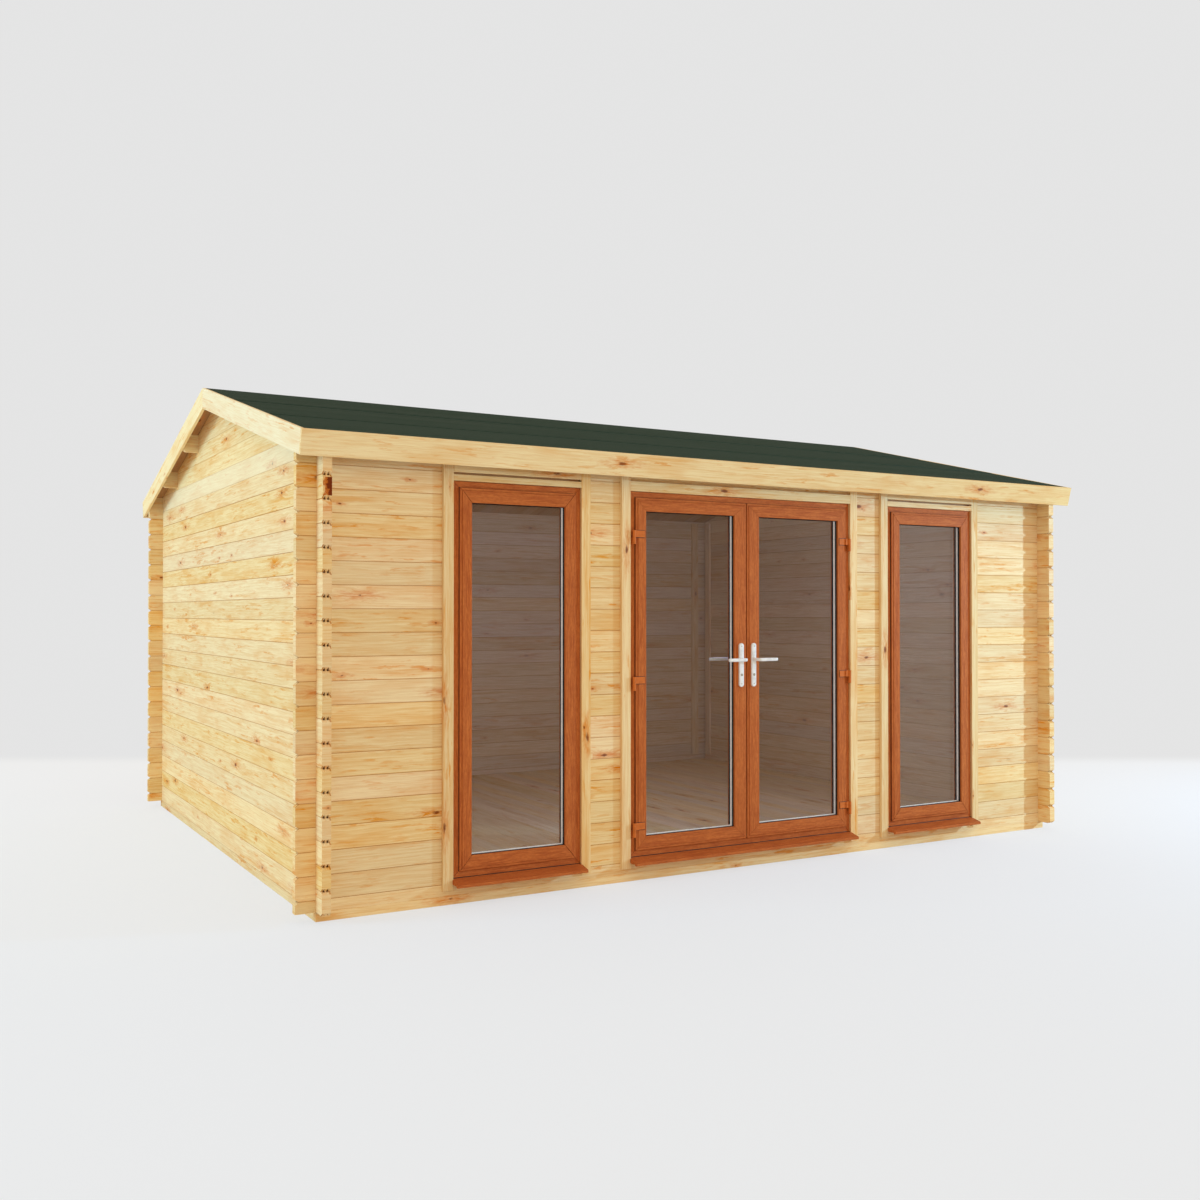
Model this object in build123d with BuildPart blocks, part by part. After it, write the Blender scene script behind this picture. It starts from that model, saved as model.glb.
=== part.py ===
"""Log cabin with a shallow felted roof, double glazed doors and two tall windows.

Millimetres. X runs along the front, Y runs from the front to the back, Z is up.
The origin is on the ground, in the middle of the roof's plan.
"""
import os
from math import atan2, cos, degrees, hypot, radians, sin, tan

from build123d import *

# ---- walls --------------------------------------------------------------
wall_width = 5000.0          # outer faces of the two gable walls
wall_depth = 3950.0          # outer faces of the front and back walls
log_thickness = 44.0
log_pitch = 114.0            # height that one log adds to a wall
log_overhang = 97.0          # log ends past the crossing wall's outer face
log_groove = 3.0             # bevel along the weather edges of each log
notch_depth = 19.0           # V cut into the log ends at every joint
notch_height = 28.0
gable_log_count = 19         # whole logs in a gable wall under the eaves line
base_height = 45.0           # bearers under the walls
bearer_joint = 0.4           # between the bearers and joists that butt
joist_count = 8
floor_thickness = 19.0
floor_gap = 3.0              # floor boards stop this far from the walls
batten_width = 70.0          # upright boards inside the back corners
batten_thickness = 20.0
batten_inset = 90.0          # corner to the batten on the back wall
batten_side_inset = 30.0     # corner to the batten on the gable wall
batten_low = 110.0
batten_high = 2300.0

# ---- roof ---------------------------------------------------------------
roof_pitch = 14.0            # degrees
plate_rise = 95.0            # eaves line to the roof's underside at the outer wall face
roof_board = 19.0
felt_thickness = 4.0
eaves_overhang = 152.0       # outer wall face to the fascia's top edge
fascia_thickness = 20.0
barge_thickness = 18.0
barge_depth = 122.0          # felt's top to the bottom of the barge boards and fascias
purlin_height = 114.0
purlin_offsets = (680.0, 1375.0)   # ridge to each purlin's upper face
purlin_nose = 25.0           # rounding under the purlins' ends
ridge_purlin_height = 93.0
barge_joint = 0.4            # between the two barge boards at the ridge
same_level = 0.01            # levels closer than this are one level

# ---- window and door frames ---------------------------------------------
window_width = 728.0
window_centre = 1447.0       # either side of the middle
door_width = 1558.0
log_courses_beside = 18      # logs beside an opening, above the first half log
settling_space = 42.0        # frame top to the log above
door_head_notch = 30.0       # extra height cut from the log over the door
fitting_gap = 3.0            # frame side to log ends
sill_height = 28.0
sill_reach = 85.0            # wall face to the sill's nose
sill_nose = 15.0
sill_drop = 20.0             # fall of the sill's top
sill_horn = 5.0              # sill past the frame, in front of the wall
frame_depth = 70.0
frame_proud = 6.0            # frame in front of the wall's outer face
frame_face = 48.0
frame_stop = 12.0            # lip behind the sash
frame_show = 34.0            # part of the frame's face that the sash leaves open
seal_gap = 5.0
sash_face_proud = 21.0       # sash face in front of the wall's outer face
sash_depth = 68.0
sash_flange = 10.0
sash_stile = 65.0
sash_rail = 74.0
meeting_stile = 85.0
meeting_gap = 6.0            # between the two door leaves at their faces
meeting_relief = 4.0         # each leaf's body is set back behind its face
face_bevel = 3.0             # round the inside of each sash's face
glass_unit = 24.0
glass_recess = 24.0          # sash face to the glass
glass_cover = 12.0           # glass edge held in the sash
glass_edge_gap = 2.0
mitre_line = 0.4
trim_width = 55.0
trim_thickness = 20.0
trim_joint = 0.4
trim_bottom = 72.0
trim_top_rise = 56.0         # outer boards run on past the window opening's top
lining_thickness = 26.0      # board over a window frame
door_head_board = 60.0

# ---- door furniture -----------------------------------------------------
hinge_heights = (277.0, 1067.0, 1861.0)
hinge_height = 75.0
hinge_radius = 9.0
hinge_sides = 12             # flats round each knuckle
hinge_gap = 0.4
hinge_setback = 16.0         # frame's visible edge to the hinge axis
hinge_leaf = 3.0
hinge_flag = 55.0            # leaf edge to the far end of the hinge's flag
handle_backset = 41.0        # meeting edge to the handle's axis
handle_height = 1185.0
plate_width = 32.0
plate_height = 250.0
plate_thickness = 10.0
plate_drop = 31.0            # plate's middle below the lever's axis
spindle_side = 8.0           # square bar
spindle_play = 0.4
boss_radius = 11.0
boss_reach = 44.0
lever_length = 128.0
lever_height = 20.0
lever_thickness = 14.0
lever_edge = 4.0

# ---- levels and faces that follow from them -----------------------------
half_width = wall_width / 2
half_depth = wall_depth / 2
front_face = -half_depth
slope = tan(radians(roof_pitch))
steep = cos(radians(roof_pitch))
lean = sin(radians(roof_pitch))
first_joint = base_height + log_pitch / 2
eaves_line = base_height + gable_log_count * log_pitch
opening_top = first_joint + log_courses_beside * log_pitch
frame_bottom = first_joint + sill_height
frame_top = opening_top - settling_space
roof_build_up = felt_thickness + roof_board
ridge_height = eaves_line + plate_rise + half_depth * slope + roof_build_up / steep
wall_end = half_width + log_overhang
gable_end = half_depth + log_overhang
eaves_face = half_depth + eaves_overhang
fascia_back = eaves_face - fascia_thickness * steep
sash_front = front_face - sash_face_proud
hinge_axis = sash_front - hinge_radius
spindle_bore = spindle_side / 2 * hypot(1, 1) + spindle_play

os.makedirs("parts", exist_ok=True)


def save(part, name):
    """Label a finished piece and write it as its own file."""
    part.label = name
    export_step(part, f"parts/{name}.step")


def under_roof(y, depth):
    """Height of a plane parallel to the roof, this deep under the top of the felt."""
    return ridge_height - abs(y) * slope - depth / steep


# ---- log walls ----------------------------------------------------------
def log_edge(joints, z_low, z_high):
    """Points (depth, z) up one face of a log wall, with a bevel at each joint."""
    if not joints:
        return [(0, z_low), (0, z_high)]
    points = []
    if joints[0] > z_low + same_level:
        points.append((0, z_low))
    for z in joints:
        if z > z_low + same_level:
            points.append((0, z - log_groove))
        points.append((log_groove, z))
        if z < z_high - same_level:
            points.append((0, z + log_groove))
    if joints[-1] < z_high - same_level:
        points.append((0, z_high))
    return points


def log_section(outer, inward, joints, z_low, z_high_outer, z_high_inner):
    """Cross-section of a log wall, from its bevelled outer face to its flat inner face."""
    inner = outer + inward * log_thickness
    face = [(outer + inward * depth, z) for depth, z in log_edge(joints, z_low, z_high_outer)]
    return face + [(inner, z_high_inner), (inner, z_low)]


def courses(first, z_low, z_high):
    """Log joints of one wall between two levels, both included."""
    joints = [first + course * log_pitch for course in range(gable_log_count + 1)]
    return [z for z in joints if z_low - same_level < z < z_high + same_level]


def necks(first, z_high):
    """Bands left in the middle of each log where a crossing wall passes through."""
    starts = [first + (course + 0.25) * log_pitch for course in range(gable_log_count)]
    return [(z, min(z + log_pitch / 2, z_high)) for z in starts if z < z_high - same_level]


def cut_crossings(bands, xs, ys):
    """Cut the crossing wall's necks out of the part being built, at each corner."""
    for low, high in bands:
        with Locations(*[(x, y, (low + high) / 2) for x in xs for y in ys]):
            Box(log_thickness, log_thickness, high - low, mode=Mode.SUBTRACT)


def cut_notches(plane, joints, ends):
    """Cut a V into the log ends of the wall being built, at each joint."""
    if not ends or not joints:
        return
    with BuildSketch(plane) as notches:
        for end in ends:
            for z in joints:
                tip = end - notch_depth if end > 0 else end + notch_depth
                with BuildLine():
                    Polyline(
                        (end, z - notch_height / 2),
                        (tip, z),
                        (end, z + notch_height / 2),
                        close=True,
                    )
                make_face()
    extrude(notches.sketch, amount=log_thickness, both=True, mode=Mode.SUBTRACT)


gable_necks = necks(base_height, eaves_line)
gable_necks.append((eaves_line + log_pitch / 4, ridge_height))
long_wall_necks = [(base_height, base_height + log_pitch / 4)]
long_wall_necks += necks(first_joint, eaves_line + log_pitch / 4)
gable_middle = half_width - log_thickness / 2
long_wall_middle = half_depth - log_thickness / 2


def long_wall(name, side, x_low, x_high, z_low, z_high=None, notch=None):
    """A length of front wall (side -1) or back wall (side 1); its top may follow the roof."""
    outer = side * half_depth
    high_outer = z_high or under_roof(half_depth, roof_build_up)
    high_inner = z_high or under_roof(half_depth - log_thickness, roof_build_up)
    joints = courses(first_joint, z_low, high_outer)
    with BuildPart() as wall:
        with BuildSketch(Plane.YZ.offset(x_low)):
            with BuildLine():
                Polyline(log_section(outer, -side, joints, z_low, high_outer, high_inner), close=True)
            make_face()
        extrude(amount=x_high - x_low)
        log_ends = [x for x in (-wall_end, wall_end) if x_low <= x <= x_high]
        cut_notches(Plane.XZ.offset(-side * long_wall_middle), joints, log_ends)
        corners = [x for x in (-gable_middle, gable_middle) if x_low < x < x_high]
        if corners:
            bands = [band for band in gable_necks if band[1] > z_low and band[0] < high_outer]
            cut_crossings(bands, corners, [side * long_wall_middle])
        if notch:
            with Locations((0, side * long_wall_middle, z_low + notch[1] / 2)):
                Box(notch[0], log_thickness, notch[1], mode=Mode.SUBTRACT)
    save(wall.part, name)


window_opening = window_width + 2 * fitting_gap
door_opening = door_width + 2 * fitting_gap
window_near = window_centre - window_opening / 2
window_far = window_centre + window_opening / 2

long_wall("front_wall_base", -1, -wall_end, wall_end, base_height, first_joint)
long_wall("front_wall_left", -1, -wall_end, -window_far, first_joint, opening_top)
long_wall("front_wall_mid_left", -1, -window_near, -door_opening / 2, first_joint, opening_top)
long_wall("front_wall_mid_right", -1, door_opening / 2, window_near, first_joint, opening_top)
long_wall("front_wall_right", -1, window_far, wall_end, first_joint, opening_top)
long_wall("front_wall_top", -1, -wall_end, wall_end, opening_top, notch=(door_opening, door_head_notch))
long_wall("back_wall", 1, -wall_end, wall_end, base_height)

for side, name in ((-1, "left"), (1, "right")):
    outer = side * half_width
    joints = courses(base_height + log_pitch, base_height, eaves_line)
    with BuildPart() as gable_wall:
        with BuildSketch(Plane.XZ.offset(-gable_end)):
            with BuildLine():
                section = log_section(outer, -side, joints, base_height, eaves_line, eaves_line)
                Polyline(section, close=True)
            make_face()
        extrude(amount=2 * gable_end)
        joints.insert(0, base_height)
        cut_notches(Plane.YZ.offset(side * gable_middle), joints, [-gable_end, gable_end])
        bands = [(a, min(b, eaves_line)) for a, b in long_wall_necks]
        cut_crossings(bands, [side * gable_middle], [-long_wall_middle, long_wall_middle])
    save(gable_wall.part, f"{name}_gable_wall")

inner_x = half_width - log_thickness
inner_y = half_depth - log_thickness
with BuildPart() as battens:
    for side in (-1, 1):
        back_batten = (
            side * (inner_x - batten_inset - batten_width / 2),
            inner_y - batten_thickness / 2,
            (batten_low + batten_high) / 2,
        )
        with Locations(back_batten):
            Box(batten_width, batten_thickness, batten_high - batten_low)
        side_batten = (
            side * (inner_x - batten_thickness / 2),
            inner_y - batten_side_inset - batten_width / 2,
            (batten_low + batten_high) / 2,
        )
        with Locations(side_batten):
            Box(batten_thickness, batten_width, batten_high - batten_low)
save(battens.part, "corner_battens")

# ---- roof timbers -------------------------------------------------------


def purlin_section(offset):
    """Purlin on the back slope: plumb sides, and a top that follows the roof."""
    bottom = under_roof(offset, roof_build_up) - purlin_height
    lower_face = offset + log_thickness
    return [
        (offset, bottom),
        (lower_face, bottom),
        (lower_face, under_roof(lower_face, roof_build_up)),
        (offset, under_roof(offset, roof_build_up)),
    ]


ridge_bottom = under_roof(0, roof_build_up) - ridge_purlin_height
ridge_edge = under_roof(log_thickness / 2, roof_build_up)
ridge_section = [
    (-log_thickness / 2, ridge_bottom),
    (log_thickness / 2, ridge_bottom),
    (log_thickness / 2, ridge_edge),
    (0, under_roof(0, roof_build_up)),
    (-log_thickness / 2, ridge_edge),
]
back_sections = [purlin_section(offset) for offset in purlin_offsets]
front_sections = [[(-y, z) for y, z in section] for section in back_sections]


def purlins(name, sections):
    """Timbers from barge board to barge board, rounded under their ends."""
    with BuildPart() as timbers:
        with BuildSketch(Plane.YZ.offset(-wall_end)):
            for section in sections:
                with BuildLine():
                    Polyline(section, close=True)
                make_face()
        extrude(amount=2 * wall_end)
        for timber in timbers.solids():
            ends = timber.edges().filter_by(Axis.Y).group_by(Axis.Z)[0]
            fillet(ends, radius=purlin_nose)
    save(timbers.part, name)


purlins("ridge_purlin", [ridge_section])
purlins("purlins", front_sections + back_sections)

for side, name in ((-1, "left"), (1, "right")):
    outline = [
        (-gable_end, eaves_line + log_groove),
        (-gable_end, under_roof(gable_end, roof_build_up)),
        (0, under_roof(0, roof_build_up)),
        (gable_end, under_roof(gable_end, roof_build_up)),
        (gable_end, eaves_line + log_groove),
    ]
    foot = [
        (side * half_width, eaves_line + log_groove),
        (side * (half_width - log_groove), eaves_line),
        (side * (half_width - log_thickness), eaves_line),
        (side * (half_width - log_thickness), eaves_line + log_groove),
    ]
    low_x = min(side * half_width, side * (half_width - log_thickness))
    with BuildPart() as peak:
        with BuildSketch(Plane.YZ.offset(low_x)):
            with BuildLine():
                Polyline(outline, close=True)
            make_face()
            for section in [ridge_section] + back_sections + front_sections:
                with BuildLine():
                    Polyline(section, close=True)
                make_face(mode=Mode.SUBTRACT)
        extrude(amount=log_thickness)
        with BuildSketch(Plane.XZ.offset(-gable_end)):
            with BuildLine():
                Polyline(foot, close=True)
            make_face()
        extrude(amount=2 * gable_end)
        cut_notches(Plane.YZ.offset(side * gable_middle), [eaves_line], [-gable_end, gable_end])
        bands = [(eaves_line, eaves_line + log_pitch / 4)]
        cut_crossings(bands, [side * gable_middle], [-long_wall_middle, long_wall_middle])
    save(peak.part, f"{name}_gable_peak")

# ---- roof boards, felt, barge boards and fascias ------------------------


def square_cut(side, y, depth):
    """Point this deep on a cut square to the slope; y is where the cut starts at the top."""
    reach = y - depth * lean
    return (side * reach, under_roof(reach, depth))


def slope_sheet(side, near, far, top_depth, thickness, x_low, x_high):
    """A sheet on one slope, cut plumb at the ridge and square at the eaves."""
    bottom_depth = top_depth + thickness
    with BuildSketch(Plane.YZ.offset(x_low)) as profile:
        with BuildLine():
            Polyline(
                (side * near, under_roof(near, bottom_depth)),
                square_cut(side, far, bottom_depth),
                square_cut(side, far, top_depth),
                (side * near, under_roof(near, top_depth)),
                close=True,
            )
        make_face()
    extrude(profile.sketch, amount=x_high - x_low)


barge_face = wall_end + barge_thickness
for side, name in ((-1, "front"), (1, "back")):
    with BuildPart() as roof_boards:
        slope_sheet(side, 0, fascia_back, felt_thickness, roof_board, -wall_end, wall_end)
    save(roof_boards.part, f"{name}_roof_boards")
    with BuildPart() as roof_felt:
        slope_sheet(side, 0, fascia_back, 0, felt_thickness, -wall_end, wall_end)
    save(roof_felt.part, f"{name}_roof_felt")

for end, name in ((-1, "left"), (1, "right")):
    faces = sorted((end * wall_end, end * barge_face))
    with BuildPart() as barge_boards:
        for side in (-1, 1):
            slope_sheet(side, barge_joint / 2, fascia_back, 0, barge_depth, *faces)
    save(barge_boards.part, f"{name}_barge_boards")

with BuildPart() as fascias:
    with BuildSketch(Plane.YZ.offset(-barge_face)):
        for side in (-1, 1):
            with BuildLine():
                Polyline(
                    square_cut(side, eaves_face, barge_depth),
                    square_cut(side, fascia_back, barge_depth),
                    square_cut(side, fascia_back, 0),
                    square_cut(side, eaves_face, 0),
                    close=True,
                )
            make_face()
    extrude(amount=2 * barge_face)
save(fascias.part, "fascias")

# ---- bearers and floor --------------------------------------------------
side_bearer = wall_depth - 2 * (log_thickness + bearer_joint)
with BuildPart() as bearers:
    with Locations(*[(0, side * long_wall_middle, base_height / 2) for side in (-1, 1)]):
        Box(wall_width, log_thickness, base_height)
    with Locations(*[(side * gable_middle, 0, base_height / 2) for side in (-1, 1)]):
        Box(log_thickness, side_bearer, base_height)
save(bearers.part, "bearers")

joist_length = wall_width - 2 * (log_thickness + bearer_joint)
joist_spacing = 2 * long_wall_middle / (joist_count + 1)
with BuildPart() as joists:
    with Locations((0, 0, base_height / 2)):
        with GridLocations(1, joist_spacing, 1, joist_count):
            Box(joist_length, log_thickness, base_height)
save(joists.part, "floor_joists")

inner_width = wall_width - 2 * (log_thickness + floor_gap)
inner_depth = wall_depth - 2 * (log_thickness + floor_gap)
with BuildPart() as floor:
    with Locations((0, 0, base_height + floor_thickness / 2)):
        Box(inner_width, inner_depth, floor_thickness)
save(floor.part, "floor")

# ---- window and door frames ---------------------------------------------
frame_height = frame_top - frame_bottom
frame_middle = (frame_top + frame_bottom) / 2
sash_height = frame_height - 2 * frame_show
sash_inset = frame_face - frame_show + seal_gap
sash_back = sash_depth - sash_face_proud
glass_front = glass_recess - sash_face_proud
glass_back = glass_front + glass_unit
stop_front = sash_back + seal_gap
frame_back = frame_depth - frame_proud


def face_plane(x, depth):
    """Plane facing the front, this deep behind the front wall's outer face."""
    return Plane(origin=(x, front_face + depth, frame_middle), x_dir=(1, 0, 0), z_dir=(0, -1, 0))


def ring_layer(outer, hole, depth_low, depth_high):
    """One depth of a rectangular frame; outer and hole are (x low, x high, half height)."""
    with BuildSketch(face_plane(0, depth_high)) as ring:
        for (low, high, half), mode in ((outer, Mode.ADD), (hole, Mode.SUBTRACT)):
            with Locations(((low + high) / 2, 0)):
                Rectangle(high - low, 2 * half, mode=mode)
    extrude(ring.sketch, amount=depth_high - depth_low)


def cut_mitres(outer, hole):
    """Part the frame being built along the line through each pair of corners."""
    for end in (0, 1):
        for up in (-1, 1):
            across = hole[end] - outer[end]
            rise = up * (hole[2] - outer[2])
            middle_x = (outer[end] + hole[end]) / 2
            middle_z = frame_middle + up * (outer[2] + hole[2]) / 2
            turn = degrees(atan2(-rise, across))
            with Locations(Location((middle_x, front_face, middle_z), (0, turn, 0))):
                Box(2 * hypot(across, rise), 4 * frame_depth, mitre_line, mode=Mode.SUBTRACT)


def inset(box, left, right, vertical):
    """A rectangle (x low, x high, half height) drawn in on its sides."""
    return (box[0] + left, box[1] - right, box[2] - vertical)


def outer_frame(name, x, width):
    """Fixed frame with a stop lip behind the sash, in four mitred bars."""
    outline = (x - width / 2, x + width / 2, frame_height / 2)
    hole = inset(outline, frame_face, frame_face, frame_face)
    lip = frame_face + frame_stop
    with BuildPart() as frame:
        ring_layer(outline, hole, -frame_proud, stop_front)
        ring_layer(outline, inset(outline, lip, lip, lip), stop_front, frame_back)
        cut_mitres(outline, hole)
    save(frame.part, name)


def sash(name, outline, left_stile, right_stile, flange, body_left, body_right, spindle=None):
    """Glazed frame in four mitred bars: a flange over the fixed frame, and a grooved body."""
    hole = inset(outline, left_stile, right_stile, sash_rail)
    groove = inset(hole, -glass_cover, -glass_cover, -glass_cover)
    body = inset(outline, body_left, body_right, sash_inset)
    flange_back = flange - sash_face_proud
    with BuildPart() as frame:
        ring_layer(outline, hole, -sash_face_proud, flange_back)
        ring_layer(body, hole, flange_back, glass_front)
        ring_layer(body, groove, glass_front, glass_back)
        ring_layer(body, hole, glass_back, sash_back)
        face = frame.faces().sort_by(Axis.Y)[0]
        chamfer(face.inner_wires()[0].edges(), length=face_bevel)
        if spindle is not None:
            with Locations((spindle, front_face, handle_height)):
                Cylinder(spindle_bore, 4 * frame_depth, rotation=(90, 0, 0), mode=Mode.SUBTRACT)
        cut_mitres(outline, hole)
    save(frame.part, f"{name}_sash" if spindle is None else f"{name}_leaf")

    edge = glass_edge_gap - glass_cover
    pane = inset(hole, edge, edge, edge)
    with BuildPart() as glass:
        with BuildSketch(face_plane((pane[0] + pane[1]) / 2, glass_back)):
            Rectangle(pane[1] - pane[0], 2 * pane[2])
        extrude(amount=glass_unit)
    save(glass.part, f"{name}_glass")


def block(x_low, x_high, depth_low, depth_high, z_low, z_high):
    """A plain board, placed by its depth behind the front wall's outer face."""
    middle = ((x_low + x_high) / 2, front_face + (depth_low + depth_high) / 2, (z_low + z_high) / 2)
    with Locations(middle):
        Box(x_high - x_low, depth_high - depth_low, z_high - z_low)


def trim(name, x, width, head, top):
    """Boards round an opening, outside and inside, with the lining over the frame."""
    left = x - width / 2
    right = x + width / 2
    board_top = opening_top + trim_top_rise
    inside = log_thickness + trim_thickness
    with BuildPart() as boards:
        for depths in ((-trim_thickness, 0), (log_thickness, inside)):
            block(left - trim_width, left, *depths, trim_bottom, board_top)
            block(right, right + trim_width, *depths, trim_bottom, board_top)
        low = left + trim_joint
        high = right - trim_joint
        block(low, high, -trim_thickness, log_thickness - trim_joint, frame_top, frame_top + head)
        block(low, high, -trim_thickness, 0, top, board_top)
        block(low, high, log_thickness, inside, frame_top, board_top)
    save(boards.part, name)


for side, name in ((-1, "left_window"), (1, "right_window")):
    x = side * window_centre
    half = window_width / 2 - frame_show
    outer_frame(f"{name}_frame", x, window_width)
    outline = (x - half, x + half, sash_height / 2)
    flange = sash_face_proud - frame_proud
    sash(name, outline, sash_stile, sash_stile, flange, sash_inset, sash_inset)
    trim(f"{name}_trim", x, window_width, lining_thickness, opening_top - trim_joint)

outer_frame("door_frame", 0, door_width)
trim("door_trim", 0, door_width, door_head_board, opening_top + door_head_notch)

# ---- sills --------------------------------------------------------------
nose_top = frame_bottom - sill_drop
nose_back = front_face - sill_reach + sill_nose
horn_back = front_face - trim_thickness - trim_joint
fall = sill_drop / (sill_reach - frame_proud)
nose = [
    (front_face - sill_reach, nose_top),
    (front_face - sill_reach, nose_top - sill_nose),
    (nose_back, nose_top - sill_nose),
    (nose_back, first_joint),
]
sill_section = nose + [
    (front_face + frame_back, first_joint),
    (front_face + frame_back, frame_bottom),
    (front_face - frame_proud, frame_bottom),
]
horn_section = nose + [
    (horn_back, first_joint),
    (horn_back, frame_bottom - fall * (front_face - frame_proud - horn_back)),
]
with BuildPart() as sills:
    for x, width in ((-window_centre, window_width), (0, door_width), (window_centre, window_width)):
        for section, length in ((sill_section, width), (horn_section, width + 2 * sill_horn)):
            with BuildSketch(Plane.YZ.offset(x - length / 2)):
                with BuildLine():
                    Polyline(section, close=True)
                make_face()
            extrude(amount=length)
save(sills.part, "sills")

# ---- door leaves --------------------------------------------------------
leaf_edge = door_width / 2 - frame_show
hinge_x = door_width / 2 - hinge_setback
handle_x = meeting_gap / 2 + handle_backset
plate_middle = handle_height - plate_drop
knuckle = (hinge_height - hinge_gap) / 2


def hinge_knuckle(x, z_low):
    with BuildSketch(Plane.XY.offset(z_low)) as ring:
        with Locations((x, hinge_axis)):
            RegularPolygon(hinge_radius, hinge_sides)
    extrude(ring.sketch, amount=knuckle)


def handle_plates(name, side):
    """Long backplates outside and inside, bored for the spindle."""
    x = side * handle_x
    faces = ((-sash_face_proud, 1), (sash_back, -1))
    with BuildPart() as plates:
        for depth, outward in faces:
            with BuildSketch(Plane(
                origin=(x, front_face + depth, plate_middle), x_dir=(1, 0, 0), z_dir=(0, -1, 0)
            )):
                SlotOverall(plate_height, plate_width, rotation=90)
                with Locations((0, plate_drop)):
                    Circle(spindle_bore, mode=Mode.SUBTRACT)
            extrude(amount=outward * plate_thickness)
    save(plates.part, name)


def lever(name, side):
    """Two lever handles on one spindle, pointing away from the meeting edge."""
    x = side * handle_x
    ends = (-sash_face_proud - plate_thickness, sash_back + plate_thickness)
    with BuildPart() as handle:
        with Locations((x, front_face + sum(ends) / 2, handle_height)):
            Box(spindle_side, ends[1] - ends[0] + 2 * spindle_play, spindle_side)
        for depth, outward in ((ends[0], -1), (ends[1], 1)):
            near = depth + outward * spindle_play
            far = depth + outward * boss_reach
            with Locations((x, front_face + (near + far) / 2, handle_height)):
                Cylinder(boss_radius, abs(far - near), rotation=(90, 0, 0))
            with BuildSketch(Plane(
                origin=(x, front_face + far, handle_height), x_dir=(1, 0, 0), z_dir=(0, -1, 0)
            )):
                with Locations((side * (lever_length - lever_height / 2) / 2, 0)):
                    arm = Rectangle(lever_length + lever_height / 2, lever_height)
                chamfer(arm.vertices(), length=lever_edge)
            extrude(amount=outward * lever_thickness)
    save(handle.part, name)


with BuildPart() as frame_hinges:
    for side in (-1, 1):
        x = side * hinge_x
        for middle in hinge_heights:
            low = middle - hinge_height / 2
            hinge_knuckle(x, low)
            web = (hinge_axis - front_face, -frame_proud, low, low + knuckle)
            block(x - hinge_radius / 2, x + hinge_radius / 2, *web)
            plate = (-frame_proud - hinge_leaf, -frame_proud, low, low + knuckle)
            block(x - hinge_radius, x + hinge_radius, *plate)
save(frame_hinges.part, "door_frame_hinges")

for side, name in ((-1, "left_door"), (1, "right_door")):
    edges = sorted((side * meeting_gap / 2, side * leaf_edge))
    outline = (edges[0], edges[1], sash_height / 2)
    stiles = (sash_stile, meeting_stile)[::-side]
    insets = (sash_inset, meeting_relief)[::-side]
    sash(name, outline, *stiles, sash_flange, *insets, spindle=side * handle_x)
    handle_plates(f"{name}_handle_plates", side)
    lever(f"{name}_lever", side)
    with BuildPart() as leaf_hinges:
        for middle in hinge_heights:
            low = middle + hinge_gap / 2
            top = middle + hinge_height / 2
            hinge_knuckle(side * hinge_x, low)
            arm = sorted((side * hinge_x, side * (leaf_edge - hinge_radius)))
            block(*arm, hinge_axis - front_face, -sash_face_proud, low, top)
            flag = sorted((side * (leaf_edge - hinge_leaf), side * (leaf_edge - hinge_flag)))
            block(*flag, -sash_face_proud - hinge_leaf, -sash_face_proud, low, top)
    save(leaf_hinges.part, f"{name}_hinges")
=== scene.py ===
"""Log cabin in planed spruce, with a green felt roof and golden oak windows and doors."""

import math
import random

import bmesh
import bpy
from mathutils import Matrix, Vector


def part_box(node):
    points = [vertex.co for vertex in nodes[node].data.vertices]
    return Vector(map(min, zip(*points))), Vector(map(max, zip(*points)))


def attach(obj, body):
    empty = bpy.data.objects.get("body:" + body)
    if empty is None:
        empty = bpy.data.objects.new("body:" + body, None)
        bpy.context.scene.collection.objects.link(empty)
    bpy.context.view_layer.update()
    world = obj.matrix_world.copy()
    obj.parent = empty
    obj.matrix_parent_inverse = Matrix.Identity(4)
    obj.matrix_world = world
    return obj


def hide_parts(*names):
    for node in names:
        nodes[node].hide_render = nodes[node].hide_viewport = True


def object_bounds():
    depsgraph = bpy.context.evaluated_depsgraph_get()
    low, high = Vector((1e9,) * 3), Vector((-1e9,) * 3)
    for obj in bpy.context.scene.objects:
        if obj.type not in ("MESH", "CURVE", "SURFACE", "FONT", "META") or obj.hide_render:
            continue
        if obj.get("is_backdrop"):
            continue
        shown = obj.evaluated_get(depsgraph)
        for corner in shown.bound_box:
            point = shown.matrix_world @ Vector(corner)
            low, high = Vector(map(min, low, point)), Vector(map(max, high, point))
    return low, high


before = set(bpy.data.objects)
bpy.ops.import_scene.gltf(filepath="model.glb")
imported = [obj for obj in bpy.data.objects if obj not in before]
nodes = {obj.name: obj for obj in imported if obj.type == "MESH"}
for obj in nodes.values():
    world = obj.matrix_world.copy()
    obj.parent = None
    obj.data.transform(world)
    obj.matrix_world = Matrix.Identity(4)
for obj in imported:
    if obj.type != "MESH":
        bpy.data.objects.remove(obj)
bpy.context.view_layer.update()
dice = random.Random(7)
gable_low, gable_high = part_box("left_gable_wall")
wall_low, wall_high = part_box("back_wall")
fascia_low, fascia_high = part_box("fascias")

X = Vector((1, 0, 0))
Y = Vector((0, 1, 0))
Z = Vector((0, 0, 1))
MM = 0.001
SIDES = (("left", -1), ("right", 1))
OPENINGS = ("left_window", "door", "right_window")

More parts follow.
